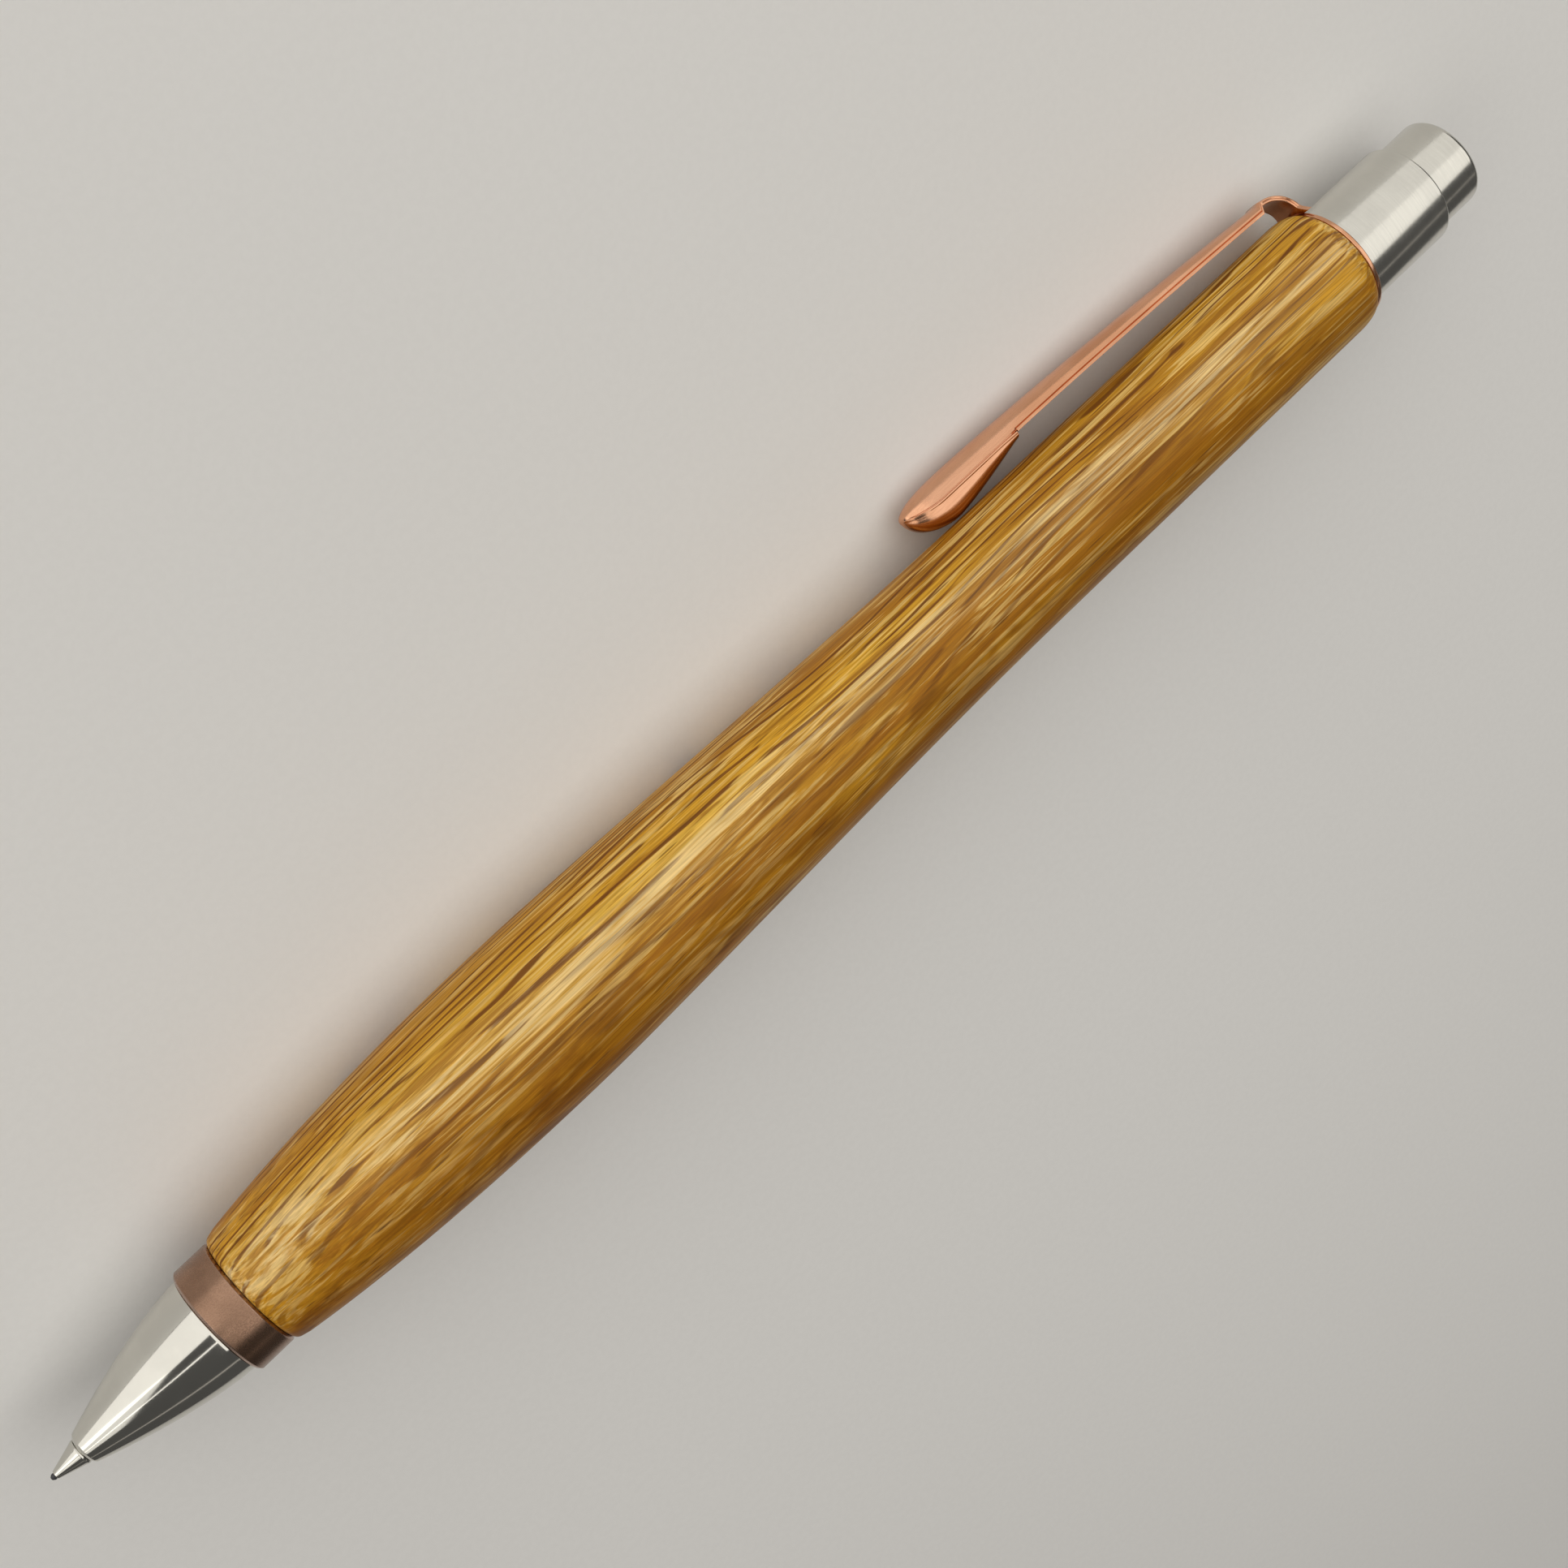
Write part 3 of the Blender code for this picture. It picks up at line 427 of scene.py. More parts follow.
def metal_material(name, colour, worn, roughness, stretch):
    """Turned or drawn metal of the inner pieces."""
    s = Shader(name, Metallic=1.0)
    lines = s.noise(s.millimetres(stretch), 1.0, 3.0, 0.6)
    cloud = s.noise(s.millimetres(), 0.7, 4.0, 0.6)
    tone = s.mix(s.remap(cloud, 0.35, 0.7), colour, worn)
    s.set("Base Color", s.mix(s.remap(lines, 0.45, 0.7, 0.0, 0.25), tone, worn))
    s.set("Roughness", s.remap(lines, 0.3, 0.7, roughness, roughness + 0.12))
    s.set("Normal", s.bump(lines, 0.003, 0.5))
    return s.material


def soft_material(name, colour, shade, roughness, bump, **sockets):
    """Plastic, rubber, eraser and lead: fine grain over a faint cloudiness."""
    s = Shader(name, **sockets)
    grain = s.noise(s.millimetres((6, 6, 6)), 1.0, 4.0, 0.65)
    cloud = s.noise(s.millimetres(), 0.6, 3.0)
    tone = s.mix(s.remap(cloud, 0.3, 0.7), colour, shade)
    s.set("Base Color", s.mix(s.remap(grain, 0.5, 0.75, 0.0, 0.3), tone, shade))
    s.set("Roughness", s.remap(grain, 0.3, 0.7, roughness - 0.06, roughness + 0.08))
    s.set("Normal", s.bump(grain, bump, 0.5))
    return s.material


# ---- Mesh builders ------------------------------------------------------------------------
def rounded(profile, closed=True, steps=4):
    """Replaces each corner that has a third number with an arc of that radius."""
    points = []
    count = len(profile)
    for i, corner in enumerate(profile):
        here = Vector(corner[:2])
        at_end = not closed and i in (0, count - 1)
        if len(corner) < 3 or at_end:
            points.append(tuple(here))
            continue
        to_last = Vector(profile[i - 1][:2]) - here
        to_next = Vector(profile[(i + 1) % count][:2]) - here
        half = to_last.angle(to_next) / 2
        cut = min(corner[2] / math.tan(half), 0.45 * to_last.length, 0.45 * to_next.length)
        radius = cut * math.tan(half)
        centre = here + (to_last.normalized() + to_next.normalized()).normalized() * (
            radius / math.sin(half))
        start = here + to_last.normalized() * cut - centre
        end = here + to_next.normalized() * cut - centre
        sweep = start.angle_signed(end)
        for k in range(steps + 1):
            spoke = start.copy()
            spoke.rotate(Matrix.Rotation(-sweep * k / steps, 2))
            points.append(tuple(centre + spoke))
    return points


def finish_piece(name, verts, faces, origin, material, body, nodes, sharp=40):
    """Makes the object, smooths it, gives it its look, and ties it to the frame."""
    mesh = bpy.data.meshes.new(name)
    mesh.from_pydata([v - origin for v in verts], [], faces)
    bm = bmesh.new()
    bm.from_mesh(mesh)
    bmesh.ops.remove_doubles(bm, verts=bm.verts, dist=1e-8)
    bmesh.ops.recalc_face_normals(bm, faces=bm.faces)
    if bm.calc_volume(signed=True) < 0:
        bmesh.ops.reverse_faces(bm, faces=bm.faces)
    bm.to_mesh(mesh)
    bm.free()
    mesh.shade_smooth()
    mesh.set_sharp_from_angle(angle=math.radians(sharp))
    mesh.materials.append(material)
    piece = bpy.data.objects.new(name, mesh)
    piece.location = origin
    bpy.context.scene.collection.objects.link(piece)
    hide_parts(*nodes)
    if body:
        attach(piece, body)
    return piece


def lathe(name, node, profile, material, body, segments=96, closed=True, thread=None):
    """Turns an outline about the pencil's axis. Thread is (start, end, pitch, depth, radius)."""
    outline = rounded(profile, closed)
    if thread:
        outline = thread_rows(outline, thread)
    verts, faces = [], []
    for k in range(segments):
        turn = 2 * math.pi * k / segments
        for station, radius in outline:
            verts.append(place(station, cut_thread(station, radius, turn, thread), angle=turn))
    rows = len(outline)
    spans = rows if closed else rows - 1
    for k in range(segments):
        here, there = k * rows, ((k + 1) % segments) * rows
        for i in range(spans):
            j = (i + 1) % rows
            ring = [here + i, here + j, there + j, there + i]
            if outline[i][1] == 0:
                ring.remove(there + i)
            if outline[j][1] == 0:
                ring.remove(there + j)
            if len(ring) > 2:
                faces.append(ring)
    return finish_piece(name, verts, faces, place(0), material, body, [node])


THREAD_ROWS = 8             # rows of the mesh in one turn of a thread
ON_THREAD = 0.02            # points this near a thread's radius belong to it


def thread_rows(outline, thread):
    """Adds the closely spaced rows that a thread needs to the straight run it is cut in."""
    start, end, pitch, _, radius = thread
    rows = []
    for a, b in zip(outline, outline[1:] + outline[:1]):
        rows.append(a)
        level = abs(a[1] - radius) < ON_THREAD and abs(b[1] - radius) < ON_THREAD
        if level and abs(b[0] - a[0]) > (end - start):
            count = int((end - start) / pitch * THREAD_ROWS)
            run = [start + (end - start) * i / count for i in range(count + 1)]
            rows += [(s, radius) for s in (run if b[0] > a[0] else run[::-1])]
    return rows


def cut_thread(station, radius, turn, thread):
    """The radius at this point of a threaded piece, with a V groove that fades at its ends."""
    if not thread:
        return radius
    start, end, pitch, depth, thread_radius = thread
    if abs(radius - thread_radius) > ON_THREAD or not start <= station <= end:
        return radius
    fade = min(1.0, (station - start) / pitch, (end - station) / pitch)
    wave = (station / pitch + turn / (2 * math.pi)) % 1.0
    groove = max(0.0, 1 - abs(wave - 0.5) * 3.2)
    return radius - depth * fade * min(1.0, 1.4 * groove)


# ---- Nose ---------------------------------------------------------------------------------
def build_nose(steel, bronze, rubber):
    bevel, bevel_length = 0.2, 0.19
    lathe("trim_ring_piece", "trim_ring", [
        (RING_FRONT, BUSH_BORE), (RING_FRONT, RING_RADIUS - bevel, 0.05),
        (RING_FRONT + bevel_length, RING_RADIUS, 0.08),
        (RING_REAR - bevel_length, RING_RADIUS, 0.08),
        (RING_REAR, RING_RADIUS - bevel, 0.05), (RING_REAR, BUSH_BORE),
    ], bronze, "trim_ring", 160)

    start, start_radius = CONE_FRONT + 0.23, 1.33
    rows = 48
    curve = []
    for i in range(1, rows):
        t = i / rows
        curve.append((start + (CONE_REAR - start) * t,
                      start_radius + (CONE_RADIUS - start_radius) * (1 - (1 - t) ** 1.5)))
    lip_radius, guide_bore, pocket_bore, stop_bore, spigot_bore = 1.08, 0.86, 1.3, 2.1, 2.5
    pocket_front, pocket_rear, stop_shoulder = 4.6, 7.6, 10.4
    lathe("front_cone_piece", "front_cone", [
        (CONE_FRONT, guide_bore), (CONE_FRONT, lip_radius, 0.05), (start, start_radius, 0.12),
        *curve, (CONE_REAR, CONE_RADIUS, 0.06), (CONE_REAR, SPIGOT_RADIUS, 0.1),
        (SPIGOT_REAR, SPIGOT_RADIUS, 0.2), (SPIGOT_REAR, spigot_bore, 0.1),
        (stop_shoulder, spigot_bore), (stop_shoulder, stop_bore), (pocket_rear, stop_bore),
        (pocket_rear, pocket_bore), (pocket_front, pocket_bore), (pocket_front, guide_bore),
    ], steel, "nose", 160, thread=(15.4, 21.6, THREAD_PITCH, 0.22, SPIGOT_RADIUS))

    mouth, collar, collar_rear, guide_rear, guide_radius = 0.38, 2.55, 2.68, 4.4, 0.8
    lathe("lead_guide_piece", "lead_guide", [
        (mouth, LEAD_BORE), (mouth, 0.34, 0.03), (collar - 0.25, 0.94, 0.25), (collar, 1.03, 0.12),
        (collar_rear, 0.98, 0.04), (collar_rear, guide_radius), (guide_rear, guide_radius),
        (guide_rear, LEAD_BORE),
    ], steel, "nose", 72)

    front, rear, radius = 4.75, 7.2, 1.22
    lathe("lead_retainer_piece", "lead_retainer", [
        (front, LEAD_BORE), (front, radius, 0.15), (rear, radius, 0.12), (rear, LEAD_BORE, 0.08),
    ], rubber, "nose", 48)


# ---- Barrel -------------------------------------------------------------------------------
def wood_radius(station):
    """The barrel's outside: a full belly that falls to a long slim waist."""
    front_radius = 4.8
    if station <= BELLY_STATION:
        t = (BELLY_STATION - station) / (BELLY_STATION - WOOD_FRONT)
        return BELLY_RADIUS - (BELLY_RADIUS - front_radius) * (0.75 * t ** 2 + 0.25 * t ** 4)
    t = min(1.0, (station - BELLY_STATION) / WAIST_RUN)
    return BELLY_RADIUS - (BELLY_RADIUS - WAIST_RADIUS) * (t * t * (3 - 2 * t)) ** 0.75


def build_barrel(wood, brass):
    edge, rim, rim_drop = 0.5, 1.8, 0.52    # front rounding, and the softer one at the rear
    outline = []
    for i in range(7):
        a = math.radians(180 - 12.5 * i)
        outline.append((WOOD_FRONT + edge + edge * math.cos(a),
                        wood_radius(WOOD_FRONT) - edge + edge * math.sin(a)))
    rows = 170
    first, last = WOOD_FRONT + 1.0, WOOD_REAR - rim
    for i in range(rows):
        station = first + (last - first) * i / rows
        outline.append((station, wood_radius(station)))
    for i in range(11):
        a = math.radians(9 * i)
        outline.append((last + rim * math.sin(a), WAIST_RADIUS - rim_drop * (1 - math.cos(a))))
    lathe("wood_barrel_piece", "wood_barrel", outline + [
        (WOOD_REAR, BUSH_BORE), (REAR_STEP, BUSH_BORE), (REAR_STEP, LINER_BORE),
        (FRONT_STEP, LINER_BORE), (FRONT_STEP, BUSH_BORE), (WOOD_FRONT, BUSH_BORE),
    ], wood, "barrel", 176)

    gap = 0.1
    liner_front, liner_rear, liner_inner = FRONT_STEP + gap, REAR_STEP - gap, 2.7
    lathe("barrel_liner_piece", "barrel_liner", [
        (liner_front, liner_inner), (liner_front, LINER_RADIUS, 0.08),
        (liner_rear, LINER_RADIUS, 0.08), (liner_rear, liner_inner),
    ], brass, "barrel")
    front, rear, thread_bore, sleeve_bore = 15.0, FRONT_STEP - gap, 3.4, 2.6
    seat = SLEEVE_FLANGE_REAR + gap
    lathe("front_bush_piece", "front_bush", [
        (front, thread_bore, 0.08), (front, BUSH_RADIUS, 0.12), (rear, BUSH_RADIUS, 0.1),
        (rear, sleeve_bore), (seat, sleeve_bore), (seat, thread_bore),
    ], brass, "barrel")
    front, rear = REAR_STEP + gap, WOOD_REAR - 0.07
    lathe("rear_bush_piece", "rear_bush", [
        (front, TAIL_SPIGOT_BORE), (front, BUSH_RADIUS, 0.1), (rear, BUSH_RADIUS, 0.1),
        (rear, TAIL_SPIGOT_BORE),
    ], brass, "barrel")


# ---- Tail ---------------------------------------------------------------------------------
def build_tail(steel, plastic, tin, eraser_rubber):
    spigot_bore, cup_floor, cup_bore = 2.5, 133.6, 3.99
    lathe("tail_ferrule_piece", "tail_ferrule", [
        (TAIL_SPIGOT_FRONT, spigot_bore), (TAIL_SPIGOT_FRONT, TAIL_SPIGOT_RADIUS, 0.1),
        (FERRULE_FRONT, TAIL_SPIGOT_RADIUS), (FERRULE_FRONT, FERRULE_RADIUS, 0.06),
        (FERRULE_REAR, FERRULE_RADIUS, 0.22), (FERRULE_REAR, cup_bore, 0.06),
        (cup_floor, cup_bore), (cup_floor, spigot_bore),
    ], steel, "barrel", 160,
        thread=(121, 130.5, THREAD_PITCH, 0.2, TAIL_SPIGOT_RADIUS))
    lathe("push_button_piece", "push_button", [
        (BUTTON_FRONT, BUTTON_BORE), (BUTTON_FRONT, BUTTON_RADIUS, 0.08),
        (LENGTH, BUTTON_RADIUS, 0.5), (LENGTH, 0.0), (BUTTON_END, 0.0),
        (BUTTON_END, BUTTON_BORE, 0.1),
    ], steel, "button", 160)

    front, rear, inner, outer = BUTTON_FRONT + 0.4, BUTTON_END - 0.1, 1.98, 3.28
    lathe("button_sleeve_piece", "button_sleeve", [
        (front, inner, 0.2), (front, outer, 0.08), (rear, outer), (rear, inner),
    ], plastic, "button")

    cup_front, cup_radius, cup_inner, floor = 135.0, 1.5, 1.3, 135.3
    lip_front, lip_rear, lip_radius = 140.58, 140.9, 1.86
    lathe("eraser_cup_piece", "eraser_cup", [
        (cup_front, 0.0), (cup_front, cup_radius, 0.12), (lip_front, cup_radius, 0.03),
        (lip_front, lip_radius, 0.04), (lip_rear, lip_radius, 0.08), (lip_rear, cup_inner, 0.04),
        (floor, cup_inner), (floor, 0.0),
    ], tin, "eraser_unit", 64, closed=False)
    front, rear, radius = floor + 0.1, 143.0, 1.22
    lathe("eraser_piece", "eraser", [
        (front, 0.0), (front, radius), (rear, radius, 0.35), (rear, 0.0),
    ], eraser_rubber, "eraser_unit", 64, closed=False)


# ---- Clip ---------------------------------------------------------------------------------
SHEET = 0.38                # thickness of the clip's sheet
TIP, PEAK, FOOT_REAR, KINK = 90.4, 95.6, 101.6, 129.4   # stations along the clip
TIP_REACH, PEAK_REACH = 8.3, 9.3    # how far the tip and the crown stand from the axis
SEAM = 7.55                 # reach of the fold along the foot
HALF_WIDTH, NECK_HALF_WIDTH = 1.75, 1.45
ARM_DEPTH, KINK_DEPTH = 1.78, 0.95  # depth of the arched section at its two ends
NECK_CROWN = 0.12           # how far the neck's sheet is arched where it leaves the arm
SPANS = 28                  # spans across the arched section


def clip_top(station):
    """Reach of the clip's crown."""
    if station >= PEAK:
        fall, run = 1.75, 34.0      # the arm leans in towards the tail
        return PEAK_REACH - fall * ((station - PEAK) / run) ** 1.4
    t = (PEAK - station) / (PEAK - TIP)
    return TIP_REACH + (PEAK_REACH - TIP_REACH) * math.sqrt(max(0.0, 1 - t ** 3))


def clip_half_width(station):
    if station < PEAK:
        t = (PEAK - station) / (PEAK - TIP)
        return HALF_WIDTH * math.sqrt(max(0.0, 1 - t ** 2.6))
    t = (station - PEAK) / (KINK - PEAK)
    return HALF_WIDTH + (NECK_HALF_WIDTH - HALF_WIDTH) * t * t


def foot_bottom(station):
    """Reach of the underside of the boat-shaped foot."""
    lowest_station, lowest, rear_rise = 94.4, 5.59, 1.32
    if station > lowest_station:
        t = (station - lowest_station) / (FOOT_REAR - lowest_station)
        return lowest + rear_rise * t ** 1.3
    t = (lowest_station - station) / (lowest_station - TIP)
    return TIP_REACH - (TIP_REACH - lowest) * math.sqrt(max(0.0, 1 - t ** 2))


def arch(half_width, base, height, power=1.0):
    """(across, outward) points of a half ellipse, from one side to the other."""
    points = []
    for i in range(SPANS + 1):
        a = math.pi * i / SPANS
        points.append((half_width * math.cos(a), base + height * abs(math.sin(a)) ** power))
    return points


def sheet_section(outer, rim, inner):
    """Joins the outer and inner arches by the same rim at both sides."""
    left = [(-across, out) for across, out in rim]
    return outer + left + [(-across, out) for across, out in inner] + rim[::-1]


def foot_section(station):
    """Boat section: an arched lid, the open fold under its lip, and the hull's bead below."""
    half, top, bottom = clip_half_width(station), clip_top(station), foot_bottom(station)
    size = min(1.0, half / 0.9, (top - bottom) / 1.8)     # shrinks the rim towards the tip
    rise_start, opening_length, fade_length = 93.8, 1.5, 3.2
    rise = max(0.0, (rise_start - station) / (rise_start - TIP))
    seam = SEAM + (TIP_REACH - SEAM) * rise ** 2
    opening = max(0.0, (station - FOOT_REAR + opening_length) / opening_length)
    gap = (0.05 + 0.05 * opening) * size
    deepening = min(1.0, (station - TIP) / fade_length) ** 1.5     # the fold fades at the tip
    groove = (0.24 + 0.25 * opening) * size * deepening
    lid_base = seam + gap + 0.07 * size
    hull_base = seam - gap - 0.20 * size
    rim = [
        (half, seam + gap + 0.01 * size), (half - groove, seam + 0.5 * gap),
        (half - groove, seam - 0.5 * gap), (half + 0.03 * size, seam - gap - 0.01 * size),
        (half + 0.03 * size, seam - gap - 0.12 * size),
    ]
    return sheet_section(arch(half - 0.02 * size, lid_base, top - lid_base), rim,
                         arch(half * 0.98, hull_base, bottom - hull_base, 0.9))


def arm_section(station):
    """Channel section: the arched sheet, with a fine groove above the bead on each edge."""
    half = clip_half_width(station)
    along = (station - FOOT_REAR) / (KINK - FOOT_REAR)
    depth = ARM_DEPTH + (KINK_DEPTH - ARM_DEPTH) * along
    edge = clip_top(station) - depth
    rim = [(half - 0.12, edge + 0.31), (half - 0.01, edge + 0.25), (half + 0.03, edge + 0.14),
           (half - 0.02, edge + 0.02), (half - 0.18, edge)]
    return sheet_section(arch(half - 0.03, edge + 0.38, depth - 0.38), rim,
                         arch(half - SHEET, edge + 0.05, depth - SHEET - 0.05))


def neck_section(centre, tilt, half_width, crown):
    """Flat sheet section round the bend. Tilt 0 faces outward, 90 degrees faces the tail."""
    ease = 0.05
    rim = [(half_width - 0.3 * ease, 0.40 * SHEET), (half_width, 0.22 * SHEET),
           (half_width - ease, 0.0), (half_width, -0.22 * SHEET),
           (half_width - 0.3 * ease, -0.40 * SHEET)]
    loop = sheet_section(arch(half_width - ease, SHEET / 2, crown), rim,
                         arch(half_width - ease, -SHEET / 2, crown))
    return [(centre[0] + offset * math.sin(tilt), across, centre[1] + offset * math.cos(tilt))
            for across, offset in loop]


def build_clip(copper):
    """The clip, a sheet whose neck bends round into the ring, and the ring itself."""
    low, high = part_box("clip_ring")
    front_face, rear_face = (low.x - TIP_X) / MM, (high.x - TIP_X) / MM
    neck_station = rear_face        # the neck's sheet straddles the ring's rear face
    bend_radius, hidden_end = 2.05, 4.6     # the neck ends inside the ring
    bend = (neck_station - bend_radius, clip_top(KINK) - SHEET / 2 - bend_radius)
    foot_rows, arm_rows, bend_rows, fan_rows = 40, 28, 16, 6
    bend_fan, ring_fan = 0.40, 1.1  # how much the neck widens round the bend and to the ring
    sections = []

    def add(section):
        """Takes (station, across, outward) points."""
        sections.append([place(station, out, across) for station, across, out in section])

    first = TIP + 0.004
    for i in range(foot_rows + 1):
        station = first + (FOOT_REAR - first) * (i / foot_rows) ** 1.8
        add([(station, across, out) for across, out in foot_section(station)])
    first, last = FOOT_REAR + 0.10, KINK - 0.35
    for i in range(arm_rows + 1):
        station = first + (last - first) * i / arm_rows
        add([(station, across, out) for across, out in arm_section(station)])
    for i in range(bend_rows + 1):
        t = i / bend_rows
        tilt = t * math.pi / 2
        centre = (bend[0] + bend_radius * math.sin(tilt), bend[1] + bend_radius * math.cos(tilt))
        add(neck_section(centre, tilt, NECK_HALF_WIDTH + bend_fan * t * t, NECK_CROWN * (1 - t)))
    for i in range(1, fan_rows + 1):
        t = i / fan_rows
        centre = (neck_station, bend[1] + (hidden_end - bend[1]) * t)
        half = NECK_HALF_WIDTH + bend_fan + ring_fan * t ** 1.3
        add(neck_section(centre, math.pi / 2, half, 0.0))
    verts, faces = [], []
    for section in sections:
        verts += section
    loop = len(sections[0])
    for k in range(len(sections) - 1):
        for i in range(loop):
            j = (i + 1) % loop
            faces.append([k * loop + i, k * loop + j, (k + 1) * loop + j, (k + 1) * loop + i])
    faces.append(list(range(loop)))
    faces.append([(len(sections) - 1) * loop + i for i in range(loop)])
    arm = finish_piece("clip_piece", verts, faces, place(0), copper, None,
                       ["clip_arm"], 35)
    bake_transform(arm)
    ring_radius = 5.0
    lathe("clip_ring_piece", "clip_ring", [
        (front_face, TAIL_SPIGOT_BORE), (front_face, ring_radius, 0.12),
        (rear_face, ring_radius, 0.12), (rear_face, TAIL_SPIGOT_BORE),
    ], copper, "barrel", 160)


# ---- Lead clutch and leads ----------------------------------------------------------------
def build_jaw(number, brass):
    """One springy third of the collet."""
    front, root, inner, head, stem = 11.2, 18.0, 0.28, 1.22, 0.72
    profile = rounded([
        (front, inner, 0.05), (front, head, 0.15), (front + 1.0, head, 0.1),
        (front + 2.0, 0.8, 0.3), (front + 2.3, stem), (root, stem), (root, inner),
    ])
    direction, half_angle, steps = math.radians(90 + 120 * (number - 1)), math.radians(54), 16
    verts, faces = [], []
    rows = len(profile)
    for k in range(steps + 1):
        angle = direction - half_angle + 2 * half_angle * k / steps
        verts += [place(s, r, angle=angle) for s, r in profile]
        if k:
            for i in range(rows):
                j = (i + 1) % rows
                faces.append([(k - 1) * rows + i, (k - 1) * rows + j, k * rows + j, k * rows + i])
    faces.append(list(range(rows)))
    faces.append([steps * rows + i for i in range(rows)])
    node = f"collet_jaw_{number}"
    finish_piece(node + "_piece", verts, faces, place(0), brass, f"jaw_{number}", [node])


def build_spring(steel):
    """Chuck spring: round wire on a helix with closed ends."""
    turns, per_turn, mean_radius, wire = 9.0, 36, 1.5, 0.17
    low, high = SPRING_FRONT + wire, SPRING_REAR - wire
    closed_pitch = 2 * wire + 0.03
    open_rise = high - low - 2 * closed_pitch
    curve = bpy.data.curves.new("chuck_spring_piece", "CURVE")
    curve.dimensions = "3D"
    curve.bevel_depth = wire * MM
    curve.bevel_resolution = 4
    curve.use_fill_caps = True
    spline = curve.splines.new("POLY")
    count = int(turns * per_turn)
    spline.points.add(count)
    for i in range(count + 1):
        turn = i / per_turn
        middle = min(max(turn - 1, 0.0), turns - 2)
        ends = min(turn, 1.0) + max(turn - (turns - 1), 0.0)
        station = low + ends * closed_pitch + open_rise * middle / (turns - 2)
        point = place(station, mean_radius, angle=2 * math.pi * turn) - place(0)
        spline.points[i].co = (*point, 1.0)
    curve.materials.append(steel)
    rough = bpy.data.objects.new("spring_curve", curve)
    bpy.context.scene.collection.objects.link(rough)
    bpy.context.view_layer.update()
    mesh = bpy.data.meshes.new_from_object(rough.evaluated_get(
        bpy.context.evaluated_depsgraph_get()))
    mesh.name = "chuck_spring_piece"
    mesh.shade_smooth()
    bpy.data.objects.remove(rough)
    piece = bpy.data.objects.new("chuck_spring_piece", mesh)
    piece.location = place(0)
    bpy.context.scene.collection.objects.link(piece)
    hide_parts("chuck_spring")
    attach(piece, "barrel")
    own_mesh(piece)


def build_mechanism(brass, spring_steel, clear, white):
    seat_front, seat_rear, seat_bore = 13.45, 20.0, 1.5
    flange_front, flange_radius = 22.1, 3.25
    web_rear, web_bore, sleeve_rear, spring_bore = 21.0, 1.15, 35.0, 1.95
    lathe("clutch_sleeve_piece", "clutch_sleeve", [
        (seat_front, seat_bore, 0.1), (seat_front, SLEEVE_RADIUS, 0.12),
        (flange_front, SLEEVE_RADIUS), (flange_front, flange_radius, 0.08),
        (SLEEVE_FLANGE_REAR, flange_radius, 0.08), (SLEEVE_FLANGE_REAR, SLEEVE_RADIUS),
        (sleeve_rear, SLEEVE_RADIUS, 0.1), (sleeve_rear, spring_bore), (web_rear, spring_bore),
        (web_rear, web_bore), (seat_rear, web_bore), (seat_rear, seat_bore),
    ], brass, "barrel")
    front, rear, radius, mouth, throat = 11.5, 13.3, 2.3, 1.4, 1.05
    lathe("clutch_ring_piece", "clutch_ring", [
        (front, mouth, 0.06), (front, radius, 0.15), (rear, radius, 0.15), (rear, throat, 0.05),
        (front + 1.0, mouth),
    ], brass, "clutch_ring", 72)
    build_spring(spring_steel)
    lathe("lead_tank_piece", "lead_tank", [
        (TANK_FRONT, TANK_BORE), (TANK_FRONT, TANK_RADIUS, 0.1), (TANK_REAR, TANK_RADIUS, 0.12),
        (TANK_REAR, TANK_BORE, 0.1),
    ], clear, "feed_unit")
    front, rear, plug_front, head_radius, plug_radius = 33.0, 43.0, 38.1, 1.8, 1.5
    funnel, funnel_front, lead_hole, collet_bore = 1.2, 41.8, 0.55, 1.12
    collet_stop = COLLET_REAR + 0.1
    lathe("tank_connector_piece", "tank_connector", [
        (front, collet_bore), (front, head_radius, 0.12), (plug_front, head_radius, 0.05),
        (plug_front, plug_radius), (rear, plug_radius, 0.08), (rear, funnel),
        (funnel_front, lead_hole), (collet_stop, lead_hole), (collet_stop, collet_bore),
    ], white, "feed_unit", 64)
    front, inner = 18.1, 0.4
    lathe("collet_body_piece", "collet_body", [
        (front, inner), (front, COLLET_RADIUS, 0.08), (COLLET_REAR, COLLET_RADIUS, 0.08),
        (COLLET_REAR, inner),
    ], brass, "feed_unit", 64)
    for number in (1, 2, 3):
        build_jaw(number, brass)


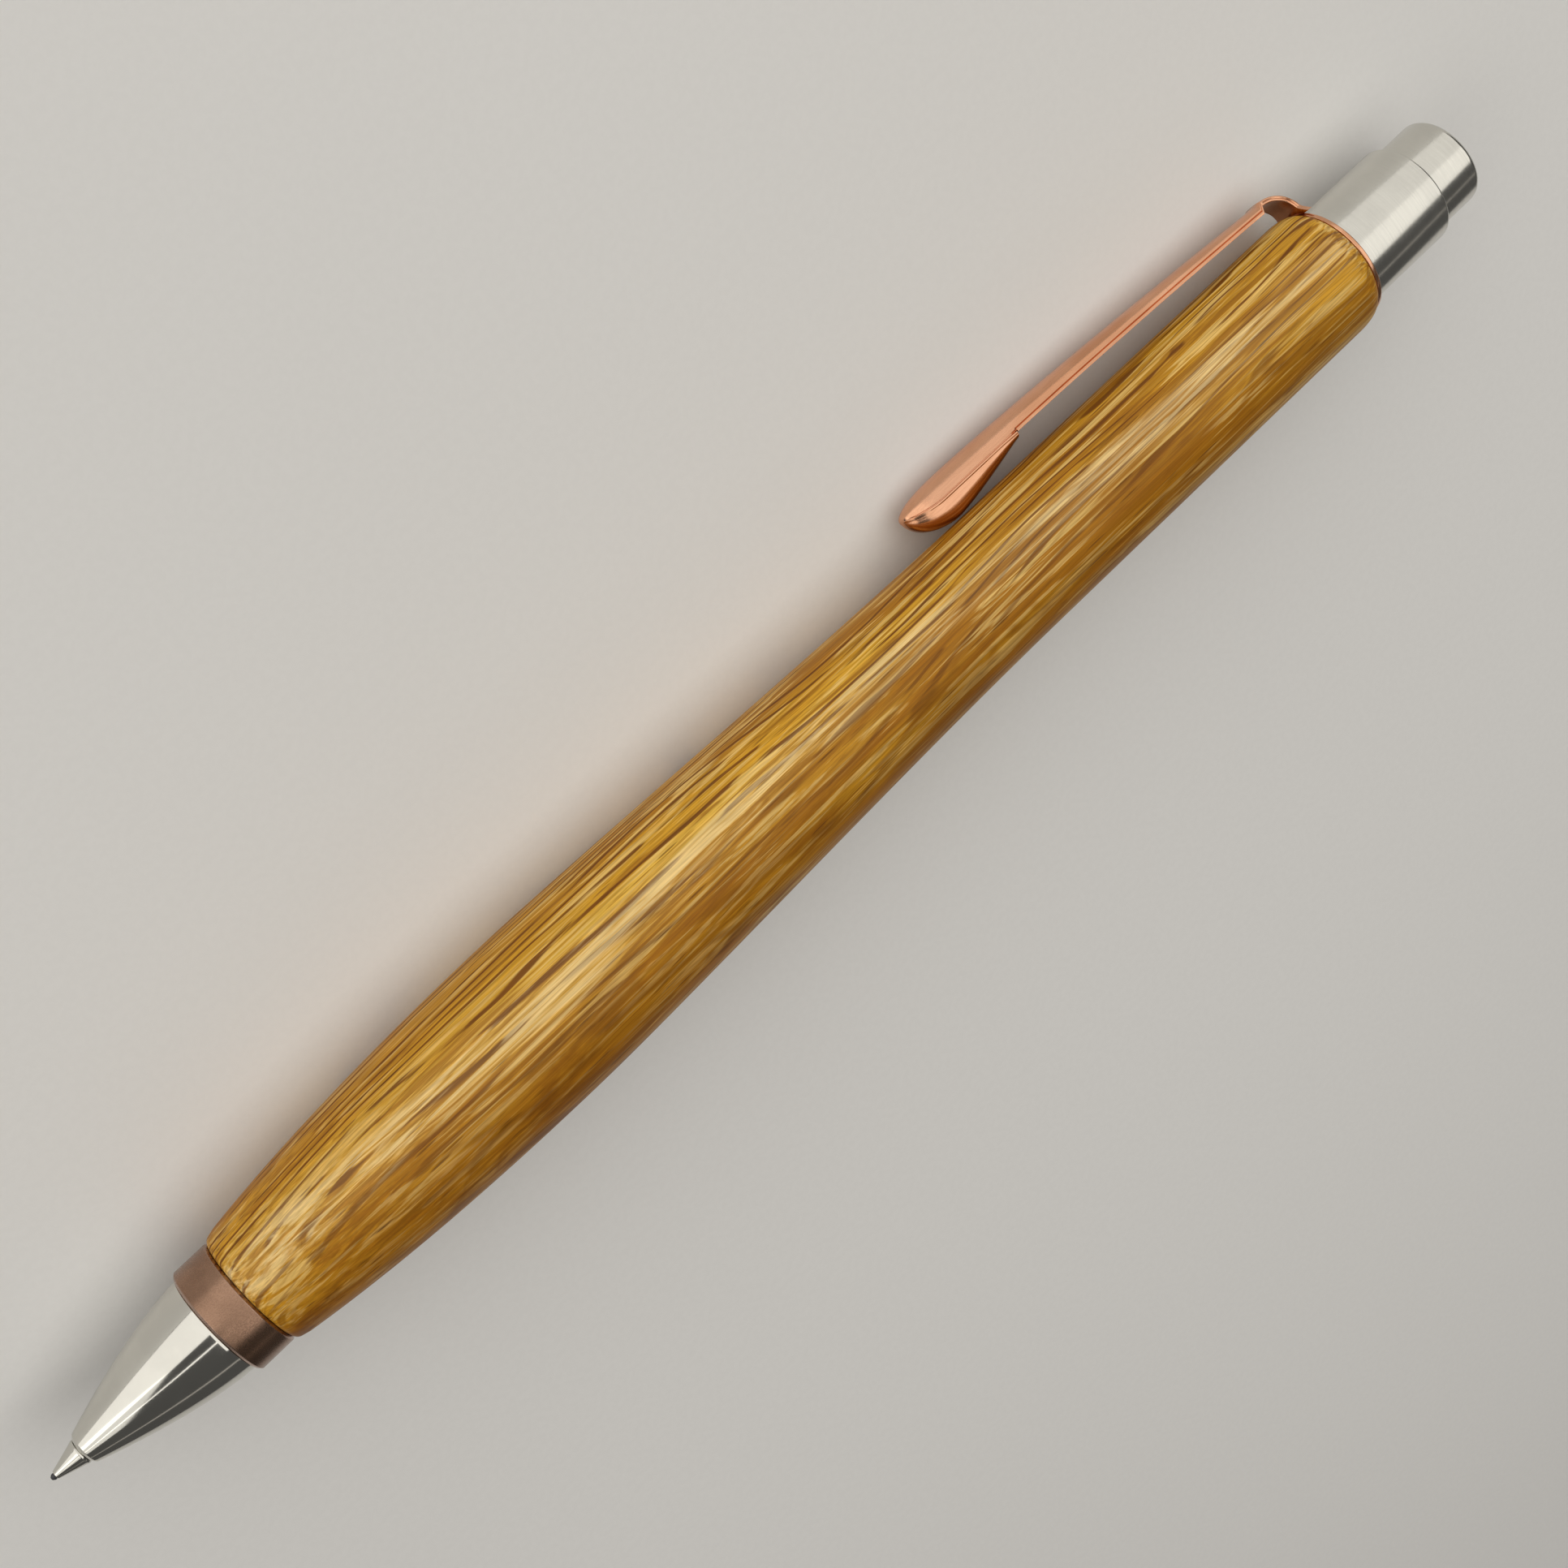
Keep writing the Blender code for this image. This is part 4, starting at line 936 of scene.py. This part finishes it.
def build_leads(graphite):
    def lead(name, node, start, body, blunt, outward=0.0, angle=0.0):
        """A rod of lead with its front end worn blunt."""
        end = start + LEAD_LENGTH
        piece = lathe(name, node, [
            (start, 0.0), (start, LEAD_RADIUS - blunt, 0.05),
            (start + 1.4 * blunt, LEAD_RADIUS, 0.05), (end, LEAD_RADIUS, 0.02), (end, 0.0),
        ], graphite, None, 32, closed=False)
        piece.location += place(0, outward, angle=angle) - place(0)
        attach(piece, body)

    lead("lead_piece", "lead", 0.0, "lead", 0.12)
    # The spares lie side by side along the bottom of the tank, each a little further back.
    rest_radius, first_start, stagger, spread = 1.3, 62.0, 3, 24
    for number in range(3):
        lead(f"spare_lead_{number + 1}_piece", f"spare_lead_{number + 1}",
             first_start + stagger * number, "feed_unit", 0.02, rest_radius,
             math.radians(-90 + spread * (number - 1)))


def build_pencil():
    mirror = steel_material("mirror_steel", 0.085, 0.25)
    satin_steel = steel_material("satin_steel", 0.13, 1.0)
    brass = metal_material("turned_brass", (0.78, 0.56, 0.22), (0.55, 0.37, 0.13), 0.22,
                           (20, 0.3, 0.3))
    spring_steel = metal_material("spring_wire", (0.58, 0.58, 0.57), (0.40, 0.39, 0.38), 0.2,
                                  (6, 6, 6))
    tin = metal_material("tinned_sheet", (0.68, 0.68, 0.66), (0.50, 0.50, 0.48), 0.25,
                         (14, 0.4, 0.4))
    clear = soft_material("translucent_plastic", (0.74, 0.77, 0.78), (0.62, 0.66, 0.68), 0.22,
                          0.004, Transmission_Weight=0.7, IOR=1.49)
    white = soft_material("white_plastic", (0.74, 0.74, 0.71), (0.66, 0.66, 0.63), 0.42, 0.008)
    rubber = soft_material("black_rubber", (0.025, 0.025, 0.026), (0.05, 0.05, 0.05), 0.7,
                           0.02)
    eraser_rubber = soft_material("eraser_rubber", (0.80, 0.79, 0.75), (0.62, 0.60, 0.57),
                                  0.8, 0.03)
    graphite = soft_material("graphite", (0.045, 0.045, 0.05), (0.11, 0.11, 0.12), 0.38,
                             0.006, Metallic=0.4)
    build_nose(mirror, bronze_material(), rubber)
    build_barrel(wood_material(), brass)
    build_tail(satin_steel, white, tin, eraser_rubber)
    build_clip(copper_material())
    build_mechanism(brass, spring_steel, clear, white)
    build_leads(graphite)


build_camera()
build_stage()
build_pencil()
